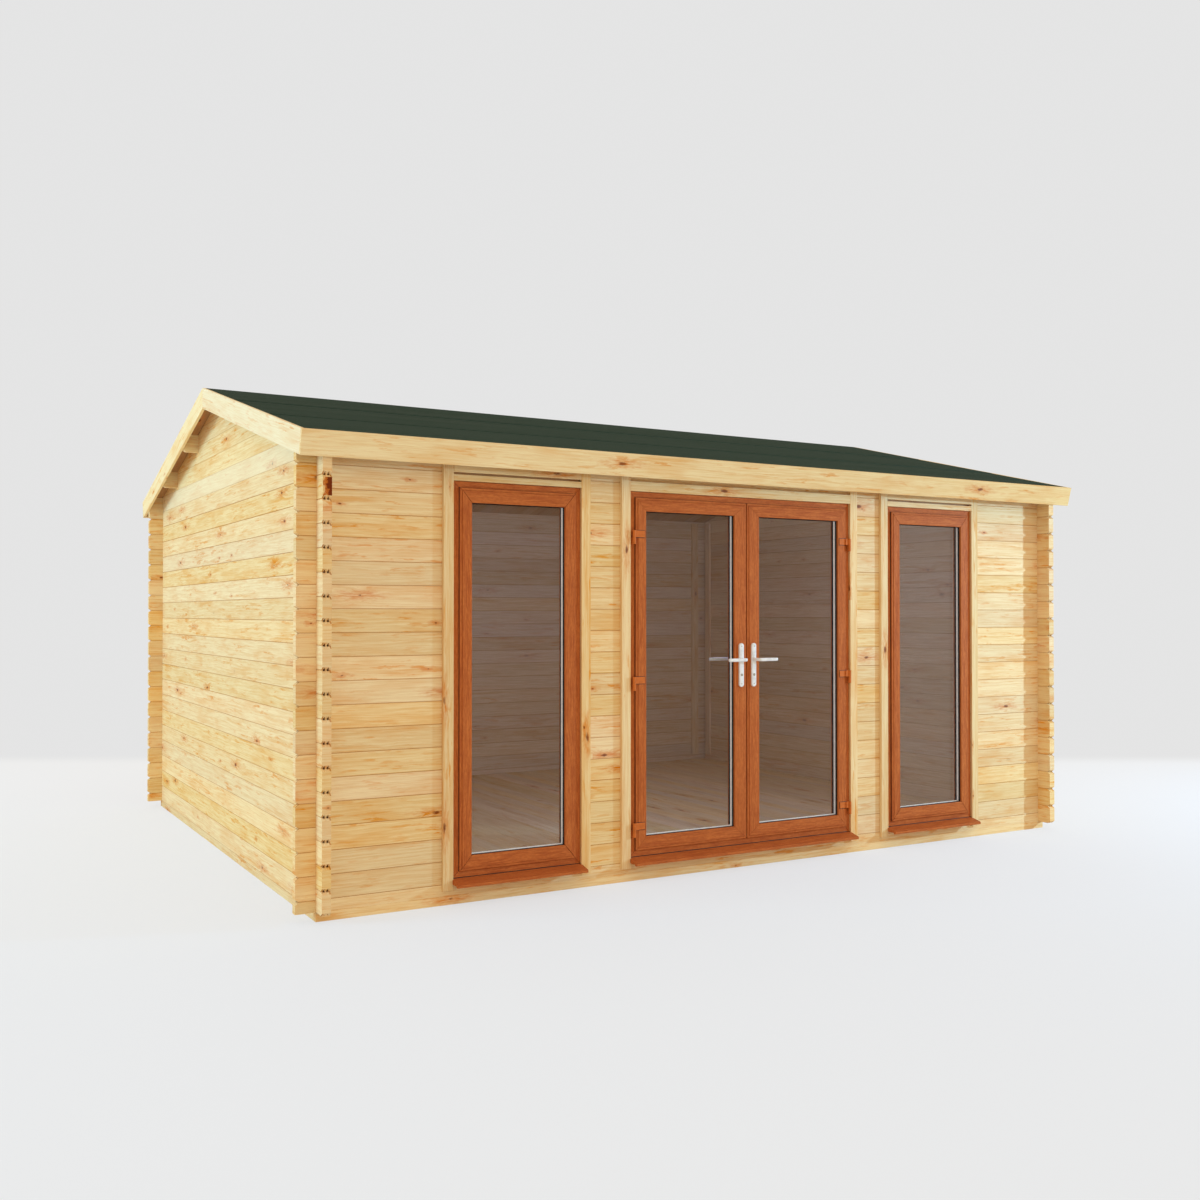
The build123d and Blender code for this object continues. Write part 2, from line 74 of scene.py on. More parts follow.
# ---- logs ----------------------------------------------------------------
LOG = 114 * MM  # height that one log adds to a wall
HALF = LOG / 2
THICK = 44 * MM
GROOVE = 2.2 * MM  # bevel along the edges of a log
NOTCH_DEPTH = 19 * MM  # the V at each joint of the log ends
NOTCH_HEIGHT = 28 * MM
TONGUE_SLOT = 10.5 * MM  # the two slots beside a tongue, seen in the log ends
SLOT_SPREAD = 9 * MM
LEAST_LOG = 20 * MM  # a lower remnant joins the log under it
MOST_LOGS = 30

# ---- faces of the walls, and slopes of the roof --------------------------
WALL_FACE = wall_high[1]
FRONT = -WALL_FACE
GABLE_END = gable_high[1]
GABLE_FACE = -gable_low[0]
BASE = wall_low[2]
EAVES = gable_high[2]
WALL_TOP = EAVES + 95 * MM  # the roof's underside at the long walls' outer face
PITCH = math.radians(14)
RISE = math.tan(PITCH)
STEEP = math.cos(PITCH)
LEAN = math.sin(PITCH)
DOWN = {side: Vector((0, side * STEEP, -LEAN)) for side in (-1, 1)}
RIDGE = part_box("front_roof_felt")[1][2]
FELT = 4 * MM
ROOF_BOARD = 19 * MM
BARGE_DEPTH = 122 * MM  # of the barge boards and fascias, from the felt's top
EAVES_FACE = fascia_high[1]
FASCIA_BACK = EAVES_FACE - 20 * MM * STEEP
BOARD_GAP = 0.3 * MM  # on each side of a roof or floor board

# ---- marks on faces, read by the wood's finish ---------------------------
SAWN = 1.0
BURL = 2.0


# ---- shader helpers ------------------------------------------------------
class Nodes:
    """A node tree under construction."""

    def __init__(self, tree):
        self.tree = tree

    def node(self, kind, **settings):
        made = self.tree.nodes.new("ShaderNode" + kind)
        for key, value in settings.items():
            setattr(made, key, value)
        return made

    def plug(self, value, socket):
        """Link an output to a socket, or set the socket to a constant."""
        if isinstance(value, bpy.types.NodeSocket):
            self.tree.links.new(value, socket)
        elif value is not None:
            socket.default_value = value

    def wire(self, made, *values):
        """Plug values into a node's inputs in order; returns its first output."""
        for value, socket in zip(values, made.inputs):
            self.plug(value, socket)
        return made.outputs[0]

    def fill(self, kind, **inputs):
        """A node with these inputs; returns its first output."""
        made = self.node(kind)
        for key, value in inputs.items():
            self.plug(value, made.inputs[key])
        return made.outputs[0]

    def blend(self, factor, first, second):
        """Mix two shaders."""
        return self.wire(self.node("MixShader"), factor, first, second)

    def ray(self, kind):
        return self.node("LightPath").outputs["Is " + kind + " Ray"]


class Shader(Nodes):
    """A material under construction."""

    def __init__(self, name):
        self.material = bpy.data.materials.new(name)
        self.material.use_nodes = True
        super().__init__(self.material.node_tree)
        self.bsdf = self.tree.nodes["Principled BSDF"]

    def math(self, operation, a, b=None, c=None):
        return self.wire(self.node("Math", operation=operation), a, b, c)

    def plus(self, a, b):
        return self.math("ADD", a, b)

    def minus(self, a, b):
        return self.math("SUBTRACT", a, b)

    def times(self, a, b):
        return self.math("MULTIPLY", a, b)

    def times_add(self, a, b, c):
        """a times b, plus c."""
        return self.math("MULTIPLY_ADD", a, b, c)

    def combine(self, x, y, z):
        return self.wire(self.node("CombineXYZ"), x, y, z)

    def split(self, vector):
        made = self.node("SeparateXYZ")
        self.plug(vector, made.inputs[0])
        return made.outputs

    def ramp(self, value, low, high, bottom=0.0, top=1.0, kind="SMOOTHSTEP"):
        """Run from bottom to top while the value goes from low to high."""
        made = self.node("MapRange", interpolation_type=kind)
        return self.wire(made, value, low, high, bottom, top)

    def mix(self, factor, a, b, blend="MIX"):
        """Mix two colours."""
        made = self.node("Mix", data_type="RGBA", blend_type=blend)
        self.plug(factor, made.inputs[0])
        self.plug(a, made.inputs[6])
        self.plug(b, made.inputs[7])
        return made.outputs[2]

    def tint(self, base, amount, share, colour):
        """Lay a colour over a base, by a share of this amount."""
        return self.mix(self.times(amount, share), base, colour)

    def noise(self, vector, scale=1.0, detail=2.0, roughness=0.5):
        return self.fill("TexNoise", Vector=vector, Scale=scale, Detail=detail, Roughness=roughness)

    def streak(self, along, rate, across, fine, far, detail=2.0, roughness=0.5):
        """Noise drawn out along the grain; rate and fine are features per metre."""
        spread = self.combine(self.times(along, rate), self.times(across, fine), far)
        return self.noise(spread, 1.0, detail, roughness)

    def place(self):
        return self.node("TexCoord").outputs["Object"]

    def mark(self, name):
        return self.node("Attribute", attribute_name=name).outputs["Fac"]

    def grain(self):
        """How far along and across its board a point lies, and the board's seed."""
        along, across, _ = self.split(self.node("UVMap", uv_map="grain").outputs[0])
        return along, across, self.mark("seed")

    def surface(self, colour, rough, gloss=None):
        self.plug(colour, self.bsdf.inputs["Base Color"])
        self.plug(rough, self.bsdf.inputs["Roughness"])
        self.plug(gloss, self.bsdf.inputs["Specular IOR Level"])

    def bump(self, height, distance):
        bumped = self.fill("Bump", Strength=1.0, Distance=distance, Height=height)
        self.plug(bumped, self.bsdf.inputs["Normal"])

    def show(self, shader):
        """Put a blend of shaders in the place of the standard one."""
        self.tree.nodes.remove(self.bsdf)
        self.plug(shader, self.tree.nodes["Material Output"].inputs["Surface"])


def rgb(red, green, blue):
    return (red, green, blue, 1.0)


# ---- wood: light, dark, stain and knot of each finish --------------------
PALE = (
    rgb(0.93, 0.735, 0.425), rgb(0.75, 0.45, 0.17),
    rgb(0.78, 0.385, 0.10), rgb(0.17, 0.030, 0.008),
)
CLEAN = (
    rgb(0.96, 0.82, 0.54), rgb(0.86, 0.62, 0.30),
    rgb(0.85, 0.51, 0.20), rgb(0.24, 0.06, 0.018),
)
HONEY = (
    rgb(0.94, 0.79, 0.49), rgb(0.79, 0.53, 0.24),
    rgb(0.78, 0.43, 0.15), rgb(0.22, 0.06, 0.018),
)
# painted shade: spruce tones darkened for the roof's underside and the slots over the openings
SHADED_TONES = (
    rgb(0.52, 0.28, 0.12), rgb(0.42, 0.20, 0.075),
    rgb(0.40, 0.17, 0.055), rgb(0.15, 0.04, 0.015),
)
FLOORED = (
    rgb(0.98, 0.76, 0.43), rgb(0.82, 0.57, 0.28),
    rgb(0.80, 0.50, 0.22), rgb(0.25, 0.11, 0.06),
)
RUST = rgb(0.70, 0.22, 0.032)
JOINT = rgb(0.54, 0.24, 0.065)
# painted haze: the paler, greyer tones of the wood indoors, as seen through the glass
INDOOR_GREY = rgb(0.80, 0.655, 0.465)
INDOOR_GREY_DARK = rgb(0.50, 0.38, 0.25)
BURL_RIM = rgb(0.50, 0.13, 0.035)
BURL_BARK = rgb(0.15, 0.025, 0.010)
HEART = (0.05, -0.07, 0.0)  # of the tree, measured from the middle of a log's end
ARCS = 1500.0  # radians of ring pattern per metre from the heart


def spruce(name, knots, tones=PALE, runs=None, joints=0.0, shade_rightward=None, indoor_grey=0.55):
    """Planed spruce: grain along each board, with knots, growth rings and resin.

    knots is the share of stretches that hold a knot. runs is the axis of the grain on
    a solid that has no map of its own. joints is how dark the long edges go, shade_rightward
    a painted shade that comes in towards the right, and indoor_grey how far the wood indoors
    is tinted paler and greyer, a painted haze of the glass it is seen through.
    """
    light, dark, stain, knot = tones
    flame = tuple(channel * share for channel, share in zip(stain, (1.0, 0.88, 0.75, 1.0)))
    wood = Shader(name)
    x, y, z = wood.split(wood.place())
    sawn = 0.0
    if runs is None:
        along, across, seed = wood.grain()
        sawn = wood.mark("sawn")
    elif runs == "Y":
        along = y
        level = wood.math("DIVIDE", wood.minus(z, EAVES), LOG)
        course = wood.math("FLOOR", level)
        across = wood.times(wood.minus(wood.minus(level, course), 0.5), LOG)
        seed = wood.times_add(course, 0.37, wood.times(wood.math("SIGN", x), 0.11))
    else:
        along = x
        across = wood.plus(y, z)
        seed = wood.times(wood.math("FLOOR", wood.times(y, 1.9)), 0.137)
    far = wood.times(seed, 91.7)

    def spot(rate, size_low, size_more, chance, stretch_by):
        """Steps to the knot of each stretch, whether it is there, and its size."""
        place = wood.node("TexVoronoi", voronoi_dimensions="1D", feature="F1")
        place.inputs["Scale"].default_value = 1.0
        stretch = wood.times_add(along, rate, wood.times(far, stretch_by))
        wood.plug(stretch, place.inputs["W"])
        pick = wood.split(place.outputs["Color"])
        step = wood.math("DIVIDE", wood.minus(stretch, place.outputs["W"]), rate)
        rise = wood.minus(across, wood.times_add(pick[0], 0.08, -0.04))
        present = wood.ramp(pick[1], 1.0 - chance, 1.0 - chance + 0.02)
        return step, rise, present, wood.times_add(pick[2], size_more, size_low)

    def reach(step, rise, squash, ragged):
        """Distance from a knot's heart, drawn out along the grain, with a ragged rim."""
        flat = wood.math("POWER", wood.times(step, squash), 2.0)
        gap = wood.math("SQRT", wood.plus(flat, wood.math("POWER", rise, 2.0)))
        return wood.plus(gap, ragged)

    def fade(value, low, high, share):
        """The whole share at low, and nothing at high."""
        return wood.times(wood.ramp(value, low, high, 1.0, 0.0), share)

    def streaks(rate, fine, source, shift=0.0, detail=3.0):
        return wood.streak(along, rate, source, fine, wood.plus(far, shift), detail, 0.6)

    # knots, each with a rusty halo
    ragged = wood.times_add(streaks(26.0, 60.0, across), 0.036, -0.018)
    step, rise, present, size = spot(1.5, 0.005, 0.006, knots, 1.0)
    gap = reach(step, rise, 0.42, wood.times(ragged, 0.55))
    core = fade(wood.math("DIVIDE", gap, size), 0.3, 1.3, present)
    near = fade(gap, 0.004, 0.05, present)
    halo = fade(reach(step, rise, 0.20, ragged), 0.0, 0.038, present)
    halo = wood.times(halo, wood.ramp(streaks(14.0, 170.0, across, 2.0), 0.38, 0.60, 0.25, 1.0))

    # small pin knots
    pin_step, pin_rise, pin_present, pin_size = spot(2.9, 0.002, 0.003, knots * 0.45, 1.37)
    pin_gap = reach(pin_step, pin_rise, 0.5, wood.times(ragged, 0.3))
    pin = fade(wood.math("DIVIDE", pin_gap, pin_size), 0.4, 1.3, pin_present)
    blush = fade(reach(pin_step, pin_rise, 0.3, ragged), 0.0, 0.018, pin_present)

    # growth rings: lines that swing round each knot
    swing = wood.times(wood.times(near, 0.02), wood.math("SIGN", rise))
    bent = wood.times_add(streaks(0.8, 4.0, across, 0.0, 2.0), 0.045, wood.plus(across, swing))
    bent = wood.times_add(streaks(7.0, 22.0, across, 3.0), 0.012, bent)
    rings = streaks(2.8, 120.0, bent)
    fine = streaks(8.0, 300.0, bent, 1.0, 2.0)
    bands = streaks(2.2, 24.0, bent, 4.0, 4.0)
    resin = streaks(7.0, 52.0, bent, 5.0, 4.0)
    cloud = streaks(2.4, 9.0, across, 7.0, 2.0)
    vigour = wood.ramp(streaks(0.9, 6.0, across, 9.0, 2.0), 0.36, 0.66, 0.30, 1.15)
    lines = wood.times(wood.ramp(rings, 0.38, 0.64), 0.6)
    figure = wood.times_add(wood.ramp(fine, 0.38, 0.64), 0.4, lines)
    patch = wood.times(wood.ramp(bands, 0.50, 0.66), wood.ramp(rings, 0.36, 0.56, 0.35, 1.0))
    lick = wood.times(wood.ramp(resin, 0.56, 0.66), wood.ramp(bands, 0.35, 0.60, 0.2, 1.0))

    base = wood.tint(light, figure, 0.62, dark)
    base = wood.mix(wood.ramp(cloud, 0.46, 0.72, 0.0, 0.38), base, stain)
    base = wood.tint(base, wood.times(patch, vigour), 0.58, stain)
    base = wood.tint(base, wood.times(lick, vigour), 0.95, flame)
    base = wood.tint(base, wood.math("MAXIMUM", halo, wood.times(blush, 0.8)), 0.92, RUST)
    base = wood.tint(base, wood.math("MAXIMUM", core, pin), 0.85, knot)

    # long edges gather a little shade
    marks = wood.math("MAXIMUM", wood.times(patch, 0.5), wood.times(figure, 0.5))
    if joints:
        edge = wood.ramp(wood.math("ABSOLUTE", across), HALF - 2.8 * MM, HALF - 1.2 * MM)
        base = wood.tint(base, edge, joints, JOINT)
        marks = wood.math("MAXIMUM", marks, wood.times(edge, 2.2))

    # painted haze: indoors the wood is tinted paler and greyer, as it looks through the glass
    within = [
        wood.math("LESS_THAN", wood.math("ABSOLUTE", place), face - THICK + MM)
        for place, face in ((x, GABLE_FACE), (y, WALL_FACE))
    ]
    base = wood.tint(base, wood.times(*within), indoor_grey, wood.mix(marks, INDOOR_GREY, INDOOR_GREY_DARK))
    if runs == "Y":
        # the lowest board of each peak is a clean one
        lowest = wood.math("LESS_THAN", wood.math("ABSOLUTE", course), 0.5)
        base = wood.tint(base, lowest, 0.4, CLEAN[0])

    # sawn ends: arcs about a heart outside the log, and the bark of one burl
    heart = wood.node("VectorMath", operation="DISTANCE")
    wood.wire(heart, wood.combine(along, across, 0.0), HEART)
    arcs = wood.times_add(wood.math("SINE", wood.times(heart.outputs["Value"], ARCS)), 0.5, 0.5)
    base = wood.tint(base, wood.times(arcs, 0.35), sawn, dark)
    bark = wood.times_add(wood.noise(wood.combine(along, across, far), 60.0, 4.0), 0.060, along)
    burl = wood.math("GREATER_THAN", sawn, (SAWN + BURL) / 2)
    base = wood.tint(base, wood.ramp(bark, 0.008, 0.022, 0.0, 0.9), burl, BURL_RIM)
    base = wood.tint(base, wood.ramp(bark, 0.026, 0.034, 0.0, 0.9), burl, BURL_BARK)

    # no two boards are quite the same tone
    board = wood.node("TexWhiteNoise", noise_dimensions="1D")
    wood.plug(far, board.inputs["W"])
    tone = wood.split(board.outputs["Color"])
    base = wood.fill(
        "HueSaturation",
        Hue=wood.times_add(tone[0], 0.004, 0.4985),
        Saturation=wood.times_add(tone[1], 0.20, 0.91),
        Value=wood.times_add(tone[2], 0.115, 0.938),
        Color=base,
    )
    # painted shade: the wood goes darker and warmer towards the right
    if shade_rightward:
        base = wood.mix(wood.ramp(x, -1.6, 2.6, kind="LINEAR"), base, shade_rightward, "MULTIPLY")
    wood.surface(base, wood.times_add(figure, 0.12, 0.5), 0.12)
    wood.bump(wood.times_add(figure, -0.6, wood.times(core, 0.6)), 0.0006)
    return wood.material


log_pine = spruce("log_pine", 0.34, joints=0.85)
plank_pine = spruce("plank_pine", 0.3)
barge_pine = spruce("barge_pine", 0.2, CLEAN)
fascia_pine = spruce("fascia_pine", 0.3, HONEY, shade_rightward=rgb(0.88, 0.76, 0.575))
shaded_soffit_pine = spruce("shaded_soffit_pine", 0.3, SHADED_TONES)
floor_pine = spruce("floor_pine", 0.2, FLOORED, indoor_grey=0.0)
purlin_pine = spruce("purlin_pine", 0.3, HONEY, runs="X")
peak_pine = spruce("peak_pine", 0.22, runs="Y", joints=0.5)


def foil(name):
    """Golden oak woodgrain foil on the window and door sections."""
    oak = Shader(name)
    along, across, seed = oak.grain()
    far = oak.times(seed, 53.0)
    bent = oak.times_add(oak.streak(along, 1.6, across, 9.0, far), 0.06, across)
    rings = oak.streak(along, 9.0, bent, 150.0, far, 3.0, 0.6)
    pores = oak.streak(along, 28.0, bent, 700.0, far, 2.0, 0.6)
    cloud = oak.streak(along, 5.0, across, 20.0, far)
    dapple = oak.streak(along, 45.0, across, 130.0, far)
    rising = oak.split(oak.node("NewGeometry").outputs["Normal"])[2]
    base = oak.mix(oak.ramp(rings, 0.3, 0.72), rgb(0.60, 0.178, 0.046), rgb(0.42, 0.103, 0.028))
    base = oak.tint(base, oak.ramp(cloud, 0.45, 0.75), 0.30, rgb(0.66, 0.215, 0.060))
    base = oak.tint(base, oak.ramp(pores, 0.60, 0.72), 0.45, rgb(0.24, 0.046, 0.012))
    base = oak.mix(oak.ramp(dapple, 0.42, 0.62, 0.0, 0.28), base, rgb(0.34, 0.072, 0.020))
    # painted shade: faces that look upward, such as the sill's top, are darker
    base = oak.mix(oak.ramp(rising, 0.4, 0.95, 0.0, 0.22), base, rgb(0.36, 0.072, 0.014))
    oak.surface(base, oak.times_add(pores, 0.18, 0.42), 0.05)
    oak.bump(oak.times(oak.ramp(pores, 0.58, 0.72), -1.0), 0.0004)
    return oak.material


def felt_finish(name):
    """Green mineral felt: fine granules, with faint streaks along the roof in its roughness, tinted
    lighter as a painted sheen.
    """
    felt = Shader(name)
    place = felt.place()
    x, y, z = felt.split(place)
    grit = felt.noise(place, 900.0, 2.0, 0.6)
    streaks_and_sheen = felt.streak(x, 0.5, y, 14.0, z, 3.0, 0.6)
    worn = felt.noise(place, 3.0, 3.0, 0.6)
    base = felt.mix(felt.ramp(grit, 0.35, 0.65), rgb(0.015, 0.039, 0.027), rgb(0.036, 0.073, 0.054))
    # painted sheen: the streaks are tinted lighter
    base = felt.tint(base, felt.ramp(streaks_and_sheen, 0.45, 0.75), 0.12, rgb(0.048, 0.076, 0.051))
    base = felt.tint(base, felt.ramp(worn, 0.5, 0.8), 0.15, rgb(0.016, 0.036, 0.023))
    felt.surface(base, felt.ramp(streaks_and_sheen, 0.3, 0.7, 0.80, 0.70), 0.08)
    felt.bump(grit, 0.0012)
    return felt.material


def pane_finish(name):
    """Thin float glass: clear, faintly cool, brighter at a glancing angle."""
    glass = Shader(name)
    through = glass.fill("BsdfTransparent", Color=rgb(0.956, 0.961, 0.966))
    shine = glass.fill("BsdfGlossy", Roughness=0.02, Color=rgb(1.0, 1.0, 1.0))
    edge = glass.fill("Fresnel", IOR=1.45)
    share = glass.times_add(glass.node("NewGeometry").outputs["Backfacing"], -0.25, 0.34)
    glass.show(glass.blend(glass.times(edge, share), through, shine))
    return glass.material


def metal(name, colour, metallic, rough, grain, gloss=0.5, painted_glow=0.0):
    """Metal or coated metal with a fine surface, and a faint painted glow where painted_glow is
    set.
    """
    made = Shader(name)
    place = made.place()
    fleck = made.noise(place, grain, 2.0, 0.6)
    wear = made.noise(place, grain * 0.06)
    dull = rgb(*(channel * 0.86 for channel in colour[:3]))
    base = made.mix(made.ramp(wear, 0.4, 0.7), colour, dull)
    made.surface(base, made.ramp(fleck, 0.3, 0.7, rough - 0.06, rough + 0.08), gloss)
    made.bsdf.inputs["Metallic"].default_value = metallic
    # painted light: a faint cool glow, as strong as painted_glow
    made.bsdf.inputs["Emission Color"].default_value = rgb(0.78, 0.86, 1.0)
    made.bsdf.inputs["Emission Strength"].default_value = painted_glow
    made.bump(fleck, 0.00015)
    return made.material


def rubber(name):
    """Black rubber with a trace of dust."""
    seal = Shader(name)
    dust = seal.noise(seal.place(), 300.0)
    base = seal.mix(seal.ramp(dust, 0.5, 0.8), rgb(0.008, 0.008, 0.008), rgb(0.025, 0.024, 0.022))
    seal.surface(base, seal.ramp(dust, 0.3, 0.7, 0.5, 0.7))
    seal.bump(dust, 0.0002)
    return seal.material


frame_oak = foil("frame_oak")
roof_felt = felt_finish("roof_felt")
pane_glass = pane_finish("pane_glass")
handle_metal = metal("handle_metal", rgb(0.90, 0.92, 0.95), 0.0, 0.30, 700.0)
# the spacer bar carries a painted glow
spacer_metal = metal("spacer_metal", rgb(0.98, 0.92, 0.82), 0.0, 0.35, 500.0, painted_glow=0.16)
lock_brass = metal("lock_brass", rgb(0.40, 0.34, 0.26), 0.3, 0.4, 500.0)
hinge_metal = metal("hinge_metal", rgb(0.64, 0.175, 0.038), 0.0, 0.5, 600.0, gloss=0.08)
seal_rubber = rubber("seal_rubber")


# ---- modelling helpers ---------------------------------------------------
FACING = 0.6  # how squarely a face must look one way to count as that side
EDGE_SHIFT = 0.04  # so that a board's two edges differ in grain
CREASE = 0.7  # radians between faces that stay sharp


def new_piece(name, mesh, material, body="cabin", replaced=()):
    """Wrap a finished bmesh in an object that rides on a body."""
    data = bpy.data.meshes.new(name)
    mesh.to_mesh(data)
    mesh.free()
    piece = bpy.data.objects.new(name, data)
    bpy.context.scene.collection.objects.link(piece)
    data.materials.append(material)
    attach(piece, body)
    if replaced:
        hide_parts(*replaced)


def new_mesh():
    mesh = bmesh.new()
    mesh.loops.layers.uv.new("grain")
    mesh.faces.layers.float.new("seed")
    mesh.faces.layers.float.new("sawn")
    return mesh


def join(mesh, own):
    """Add a finished bmesh to a larger one."""
    carrier = bpy.data.meshes.new("carrier")
    own.to_mesh(carrier)
    own.free()
    mesh.from_mesh(carrier)
    bpy.data.meshes.remove(carrier)


def join_grained(mesh, own, along, across):
    """Map a board in metres along and across it, mark its sawn ends, and join it."""
    uv = own.loops.layers.uv["grain"]
    seeds = own.faces.layers.float["seed"]
    sawn = own.faces.layers.float["sawn"]
    seed = dice.random()
    third = along.cross(across)
    middle = sum(v.co.dot(across) for v in own.verts) / len(own.verts)
    depth = sum(v.co.dot(third) for v in own.verts) / len(own.verts)
    for face in own.faces:
        face.normal_update()
        end = abs(face.normal.dot(along)) > FACING
        flat = abs(face.normal.dot(third)) > FACING
        face[seeds] = seed
        face[sawn] = SAWN if end else 0.0
        for loop in face.loops:
            place = loop.vert.co
            u = place.dot(along)
            v = place.dot(across) - middle
            w = place.dot(third) - depth
            if end:
                loop[uv].uv = (w, v)
            elif flat:
                loop[uv].uv = (u, v)
            else:
                loop[uv].uv = (u, w + (EDGE_SHIFT if v > 0 else -EDGE_SHIFT))
    join(mesh, own)


def round_edges(mesh, offset, segments=2):
    bmesh.ops.bevel(
        mesh, geom=mesh.edges[:], offset=offset, affect="EDGES", segments=segments,
        profile=0.5, material=-1, clamp_overlap=True,
    )


def block(size, middle):
    own = new_mesh()
    bmesh.ops.create_cube(own, size=1.0)
    bmesh.ops.scale(own, vec=size, verts=own.verts)
    bmesh.ops.translate(own, vec=middle, verts=own.verts)
    return own


def board(mesh, low, high, along=X, across=Z, rounding=1.5 * MM):
    """A planed board between two corners, its edges eased."""
    low, high = Vector(low), Vector(high)
    own = block(high - low, (high + low) / 2)
    if rounding:
        round_edges(own, rounding)
    join_grained(mesh, own, along, across)


def sweep(mesh, places, run):
    """Draw a flat outline out along a run into a solid."""
    cap = mesh.faces.new([mesh.verts.new(place) for place in places])
    drawn = bmesh.ops.extrude_face_region(mesh, geom=[cap])
    moved = [item for item in drawn["geom"] if isinstance(item, bmesh.types.BMVert)]
    bmesh.ops.translate(mesh, vec=run, verts=moved)


def prism(mesh, outline, start, stop, along=X, across=Z, rounding=1.5 * MM):
    """Sweep an outline of (y, z) points from one x to another, and ease its edges."""
    own = new_mesh()
    sweep(own, [Vector((start, y, z)) for y, z in outline], X * (stop - start))
    bmesh.ops.recalc_face_normals(own, faces=own.faces[:])
    if rounding:
        round_edges(own, rounding)
    join_grained(mesh, own, along, across)


def slice_off(mesh, point, normal):
    """Cut away all beyond a plane; returns the edges of the open rim."""
    cut = bmesh.ops.bisect_plane(
        mesh, geom=mesh.verts[:] + mesh.edges[:] + mesh.faces[:],
        plane_co=point, plane_no=normal.normalized(), clear_outer=True,
    )
    return [item for item in cut["geom_cut"] if isinstance(item, bmesh.types.BMEdge)]


def row(low, high, count):
    """Where each board in a row starts and stops, a hair's gap apart."""
    wide = (high - low) / count
    starts = [low + n * wide for n in range(count)]
    return [(start + BOARD_GAP, start + wide - BOARD_GAP) for start in starts]


def pair(side, near, far):
    """Two distances out from the middle on one side, in rising order."""
    return sorted((side * near, side * far))


def deep(depth):
    """Where a plane lies that is this many millimetres behind the front logs' face."""
    return FRONT + depth * MM


# ---- logs ----------------------------------------------------------------
def log_profile(low, high, joint_low, joint_high):
    """A log's section: bevelled and slotted at a joint, plain at an edge with none."""

    def edge(level, inward, joint):
        """Points across the log at one level, from its outer face to its inner one."""
        if not joint:
            return [(0, level), (THICK, level)]
        half = TONGUE_SLOT / 2
        deep_by, tip = (12.0 * MM, 0.3 * half) if inward > 0 else (5.0 * MM, half)
        bevel = [(0, 1), (0.35, 0.3), (1, 0)]
        points = [(GROOVE * d, level + inward * GROOVE * z) for d, z in bevel]
        for middle in (THICK / 2 - SLOT_SPREAD, THICK / 2 + SLOT_SPREAD):
            points += [
                (middle - half, level),
                (middle - tip, level + inward * deep_by),
                (middle + tip, level + inward * deep_by),
                (middle + half, level),
            ]
        return points + [(THICK - GROOVE * d, level + inward * GROOVE * z) for d, z in bevel[::-1]]

    return edge(low, 1, joint_low) + edge(high, -1, joint_high)[::-1]


def log(mesh, axis, face, inward, start, stop, low, high, joint_low, joint_high, ends):
    """One log: axis is the way it runs, face its outer face, inward the way into the room."""
    own = new_mesh()
    depth = Y if axis == X else X
    profile = log_profile(low, high, joint_low, joint_high)
    places = [axis * start + depth * (face + inward * d) + Z * z for d, z in profile]
    sweep(own, places, axis * (stop - start))
    for notched, end, outward in zip(ends, (start, stop), (-1, 1)):
        for level, joint, side in ((low, joint_low, -1), (high, joint_high, 1)):
            if notched and joint:
                point = axis * (end - outward * NOTCH_DEPTH) + Z * level
                normal = axis * outward * NOTCH_HEIGHT / 2 + Z * side * NOTCH_DEPTH
                bmesh.ops.contextual_create(own, geom=slice_off(own, point, normal))
    bmesh.ops.recalc_face_normals(own, faces=own.faces[:])
    join_grained(mesh, own, axis, Z)


BURL_LOW = EAVES - 2 * LOG
for name, side in SIDES:
    node = name + "_gable_wall"
    mesh = new_mesh()
    for course in range(round((EAVES - BASE) / LOG)):
        low = BASE + course * LOG
        span = (-GABLE_END, GABLE_END, low, low + LOG)
        log(mesh, Y, side * GABLE_FACE, -side, *span, True, True, (1, 1))
    ends = mesh.faces.layers.float["sawn"]
    for face in mesh.faces:
        _, y, z = face.calc_center_median()
        if side < 0 and face[ends] and y < 0 and BURL_LOW < z < BURL_LOW + LOG:
            face[ends] = BURL
    new_piece(node + "_logs", mesh, log_pine, replaced=(node,))


def long_wall(node, side):
    """Logs of a front or back wall piece; the crossing walls' logs fill the corners."""
    low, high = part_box(node)
    face = side * WALL_FACE
    inner = GABLE_FACE - THICK
    first = BASE + HALF
    start, stop = low[0], high[0]
    runs = []
    if low[0] < -GABLE_FACE:
        runs.append((low[0], -GABLE_FACE, (1, 0)))
        start = -inner
    if high[0] > GABLE_FACE:
        runs.append((GABLE_FACE, high[0], (0, 1)))
        stop = inner
    runs.append((start, stop, (0, 0)))

    def at_joint(level):
        steps = (level - first) / LOG
        return abs(steps - round(steps)) < 0.01

    levels = [low[2]] if low[2] < first - MM else []
    joints = [first + n * LOG for n in range(MOST_LOGS)]
    levels += [level for level in joints if low[2] - MM < level < high[2] - LEAST_LOG]
    mesh = new_mesh()
    for bottom, top in zip(levels, levels[1:] + [high[2]]):
        for begin, end, ends in runs:
            span = (begin, end, bottom, top)
            log(mesh, X, face, -side, *span, at_joint(bottom), at_joint(top), ends)
    if high[2] > EAVES:
        rim = slice_off(mesh, Vector((0, face, WALL_TOP)), Vector((0, side * RISE, 1)))
        bmesh.ops.holes_fill(mesh, edges=rim, sides=0)
    new_piece(node + "_logs", mesh, log_pine, replaced=(node,))


for part in ("base", "left", "mid_left", "mid_right", "right", "top"):
    long_wall("front_wall_" + part, -1)
long_wall("back_wall", 1)


# ---- roof ----------------------------------------------------------------
def under_roof(y, depth):
    """Height of a plane parallel to the roof, this deep under the felt's top."""
    return RIDGE - abs(y) * RISE - depth / STEEP


def square_cut(side, y, depth):
    """Point this deep on a cut square to the slope; y is where the cut starts at the top."""
    reach = y - depth * LEAN
    return (side * reach, under_roof(reach, depth))


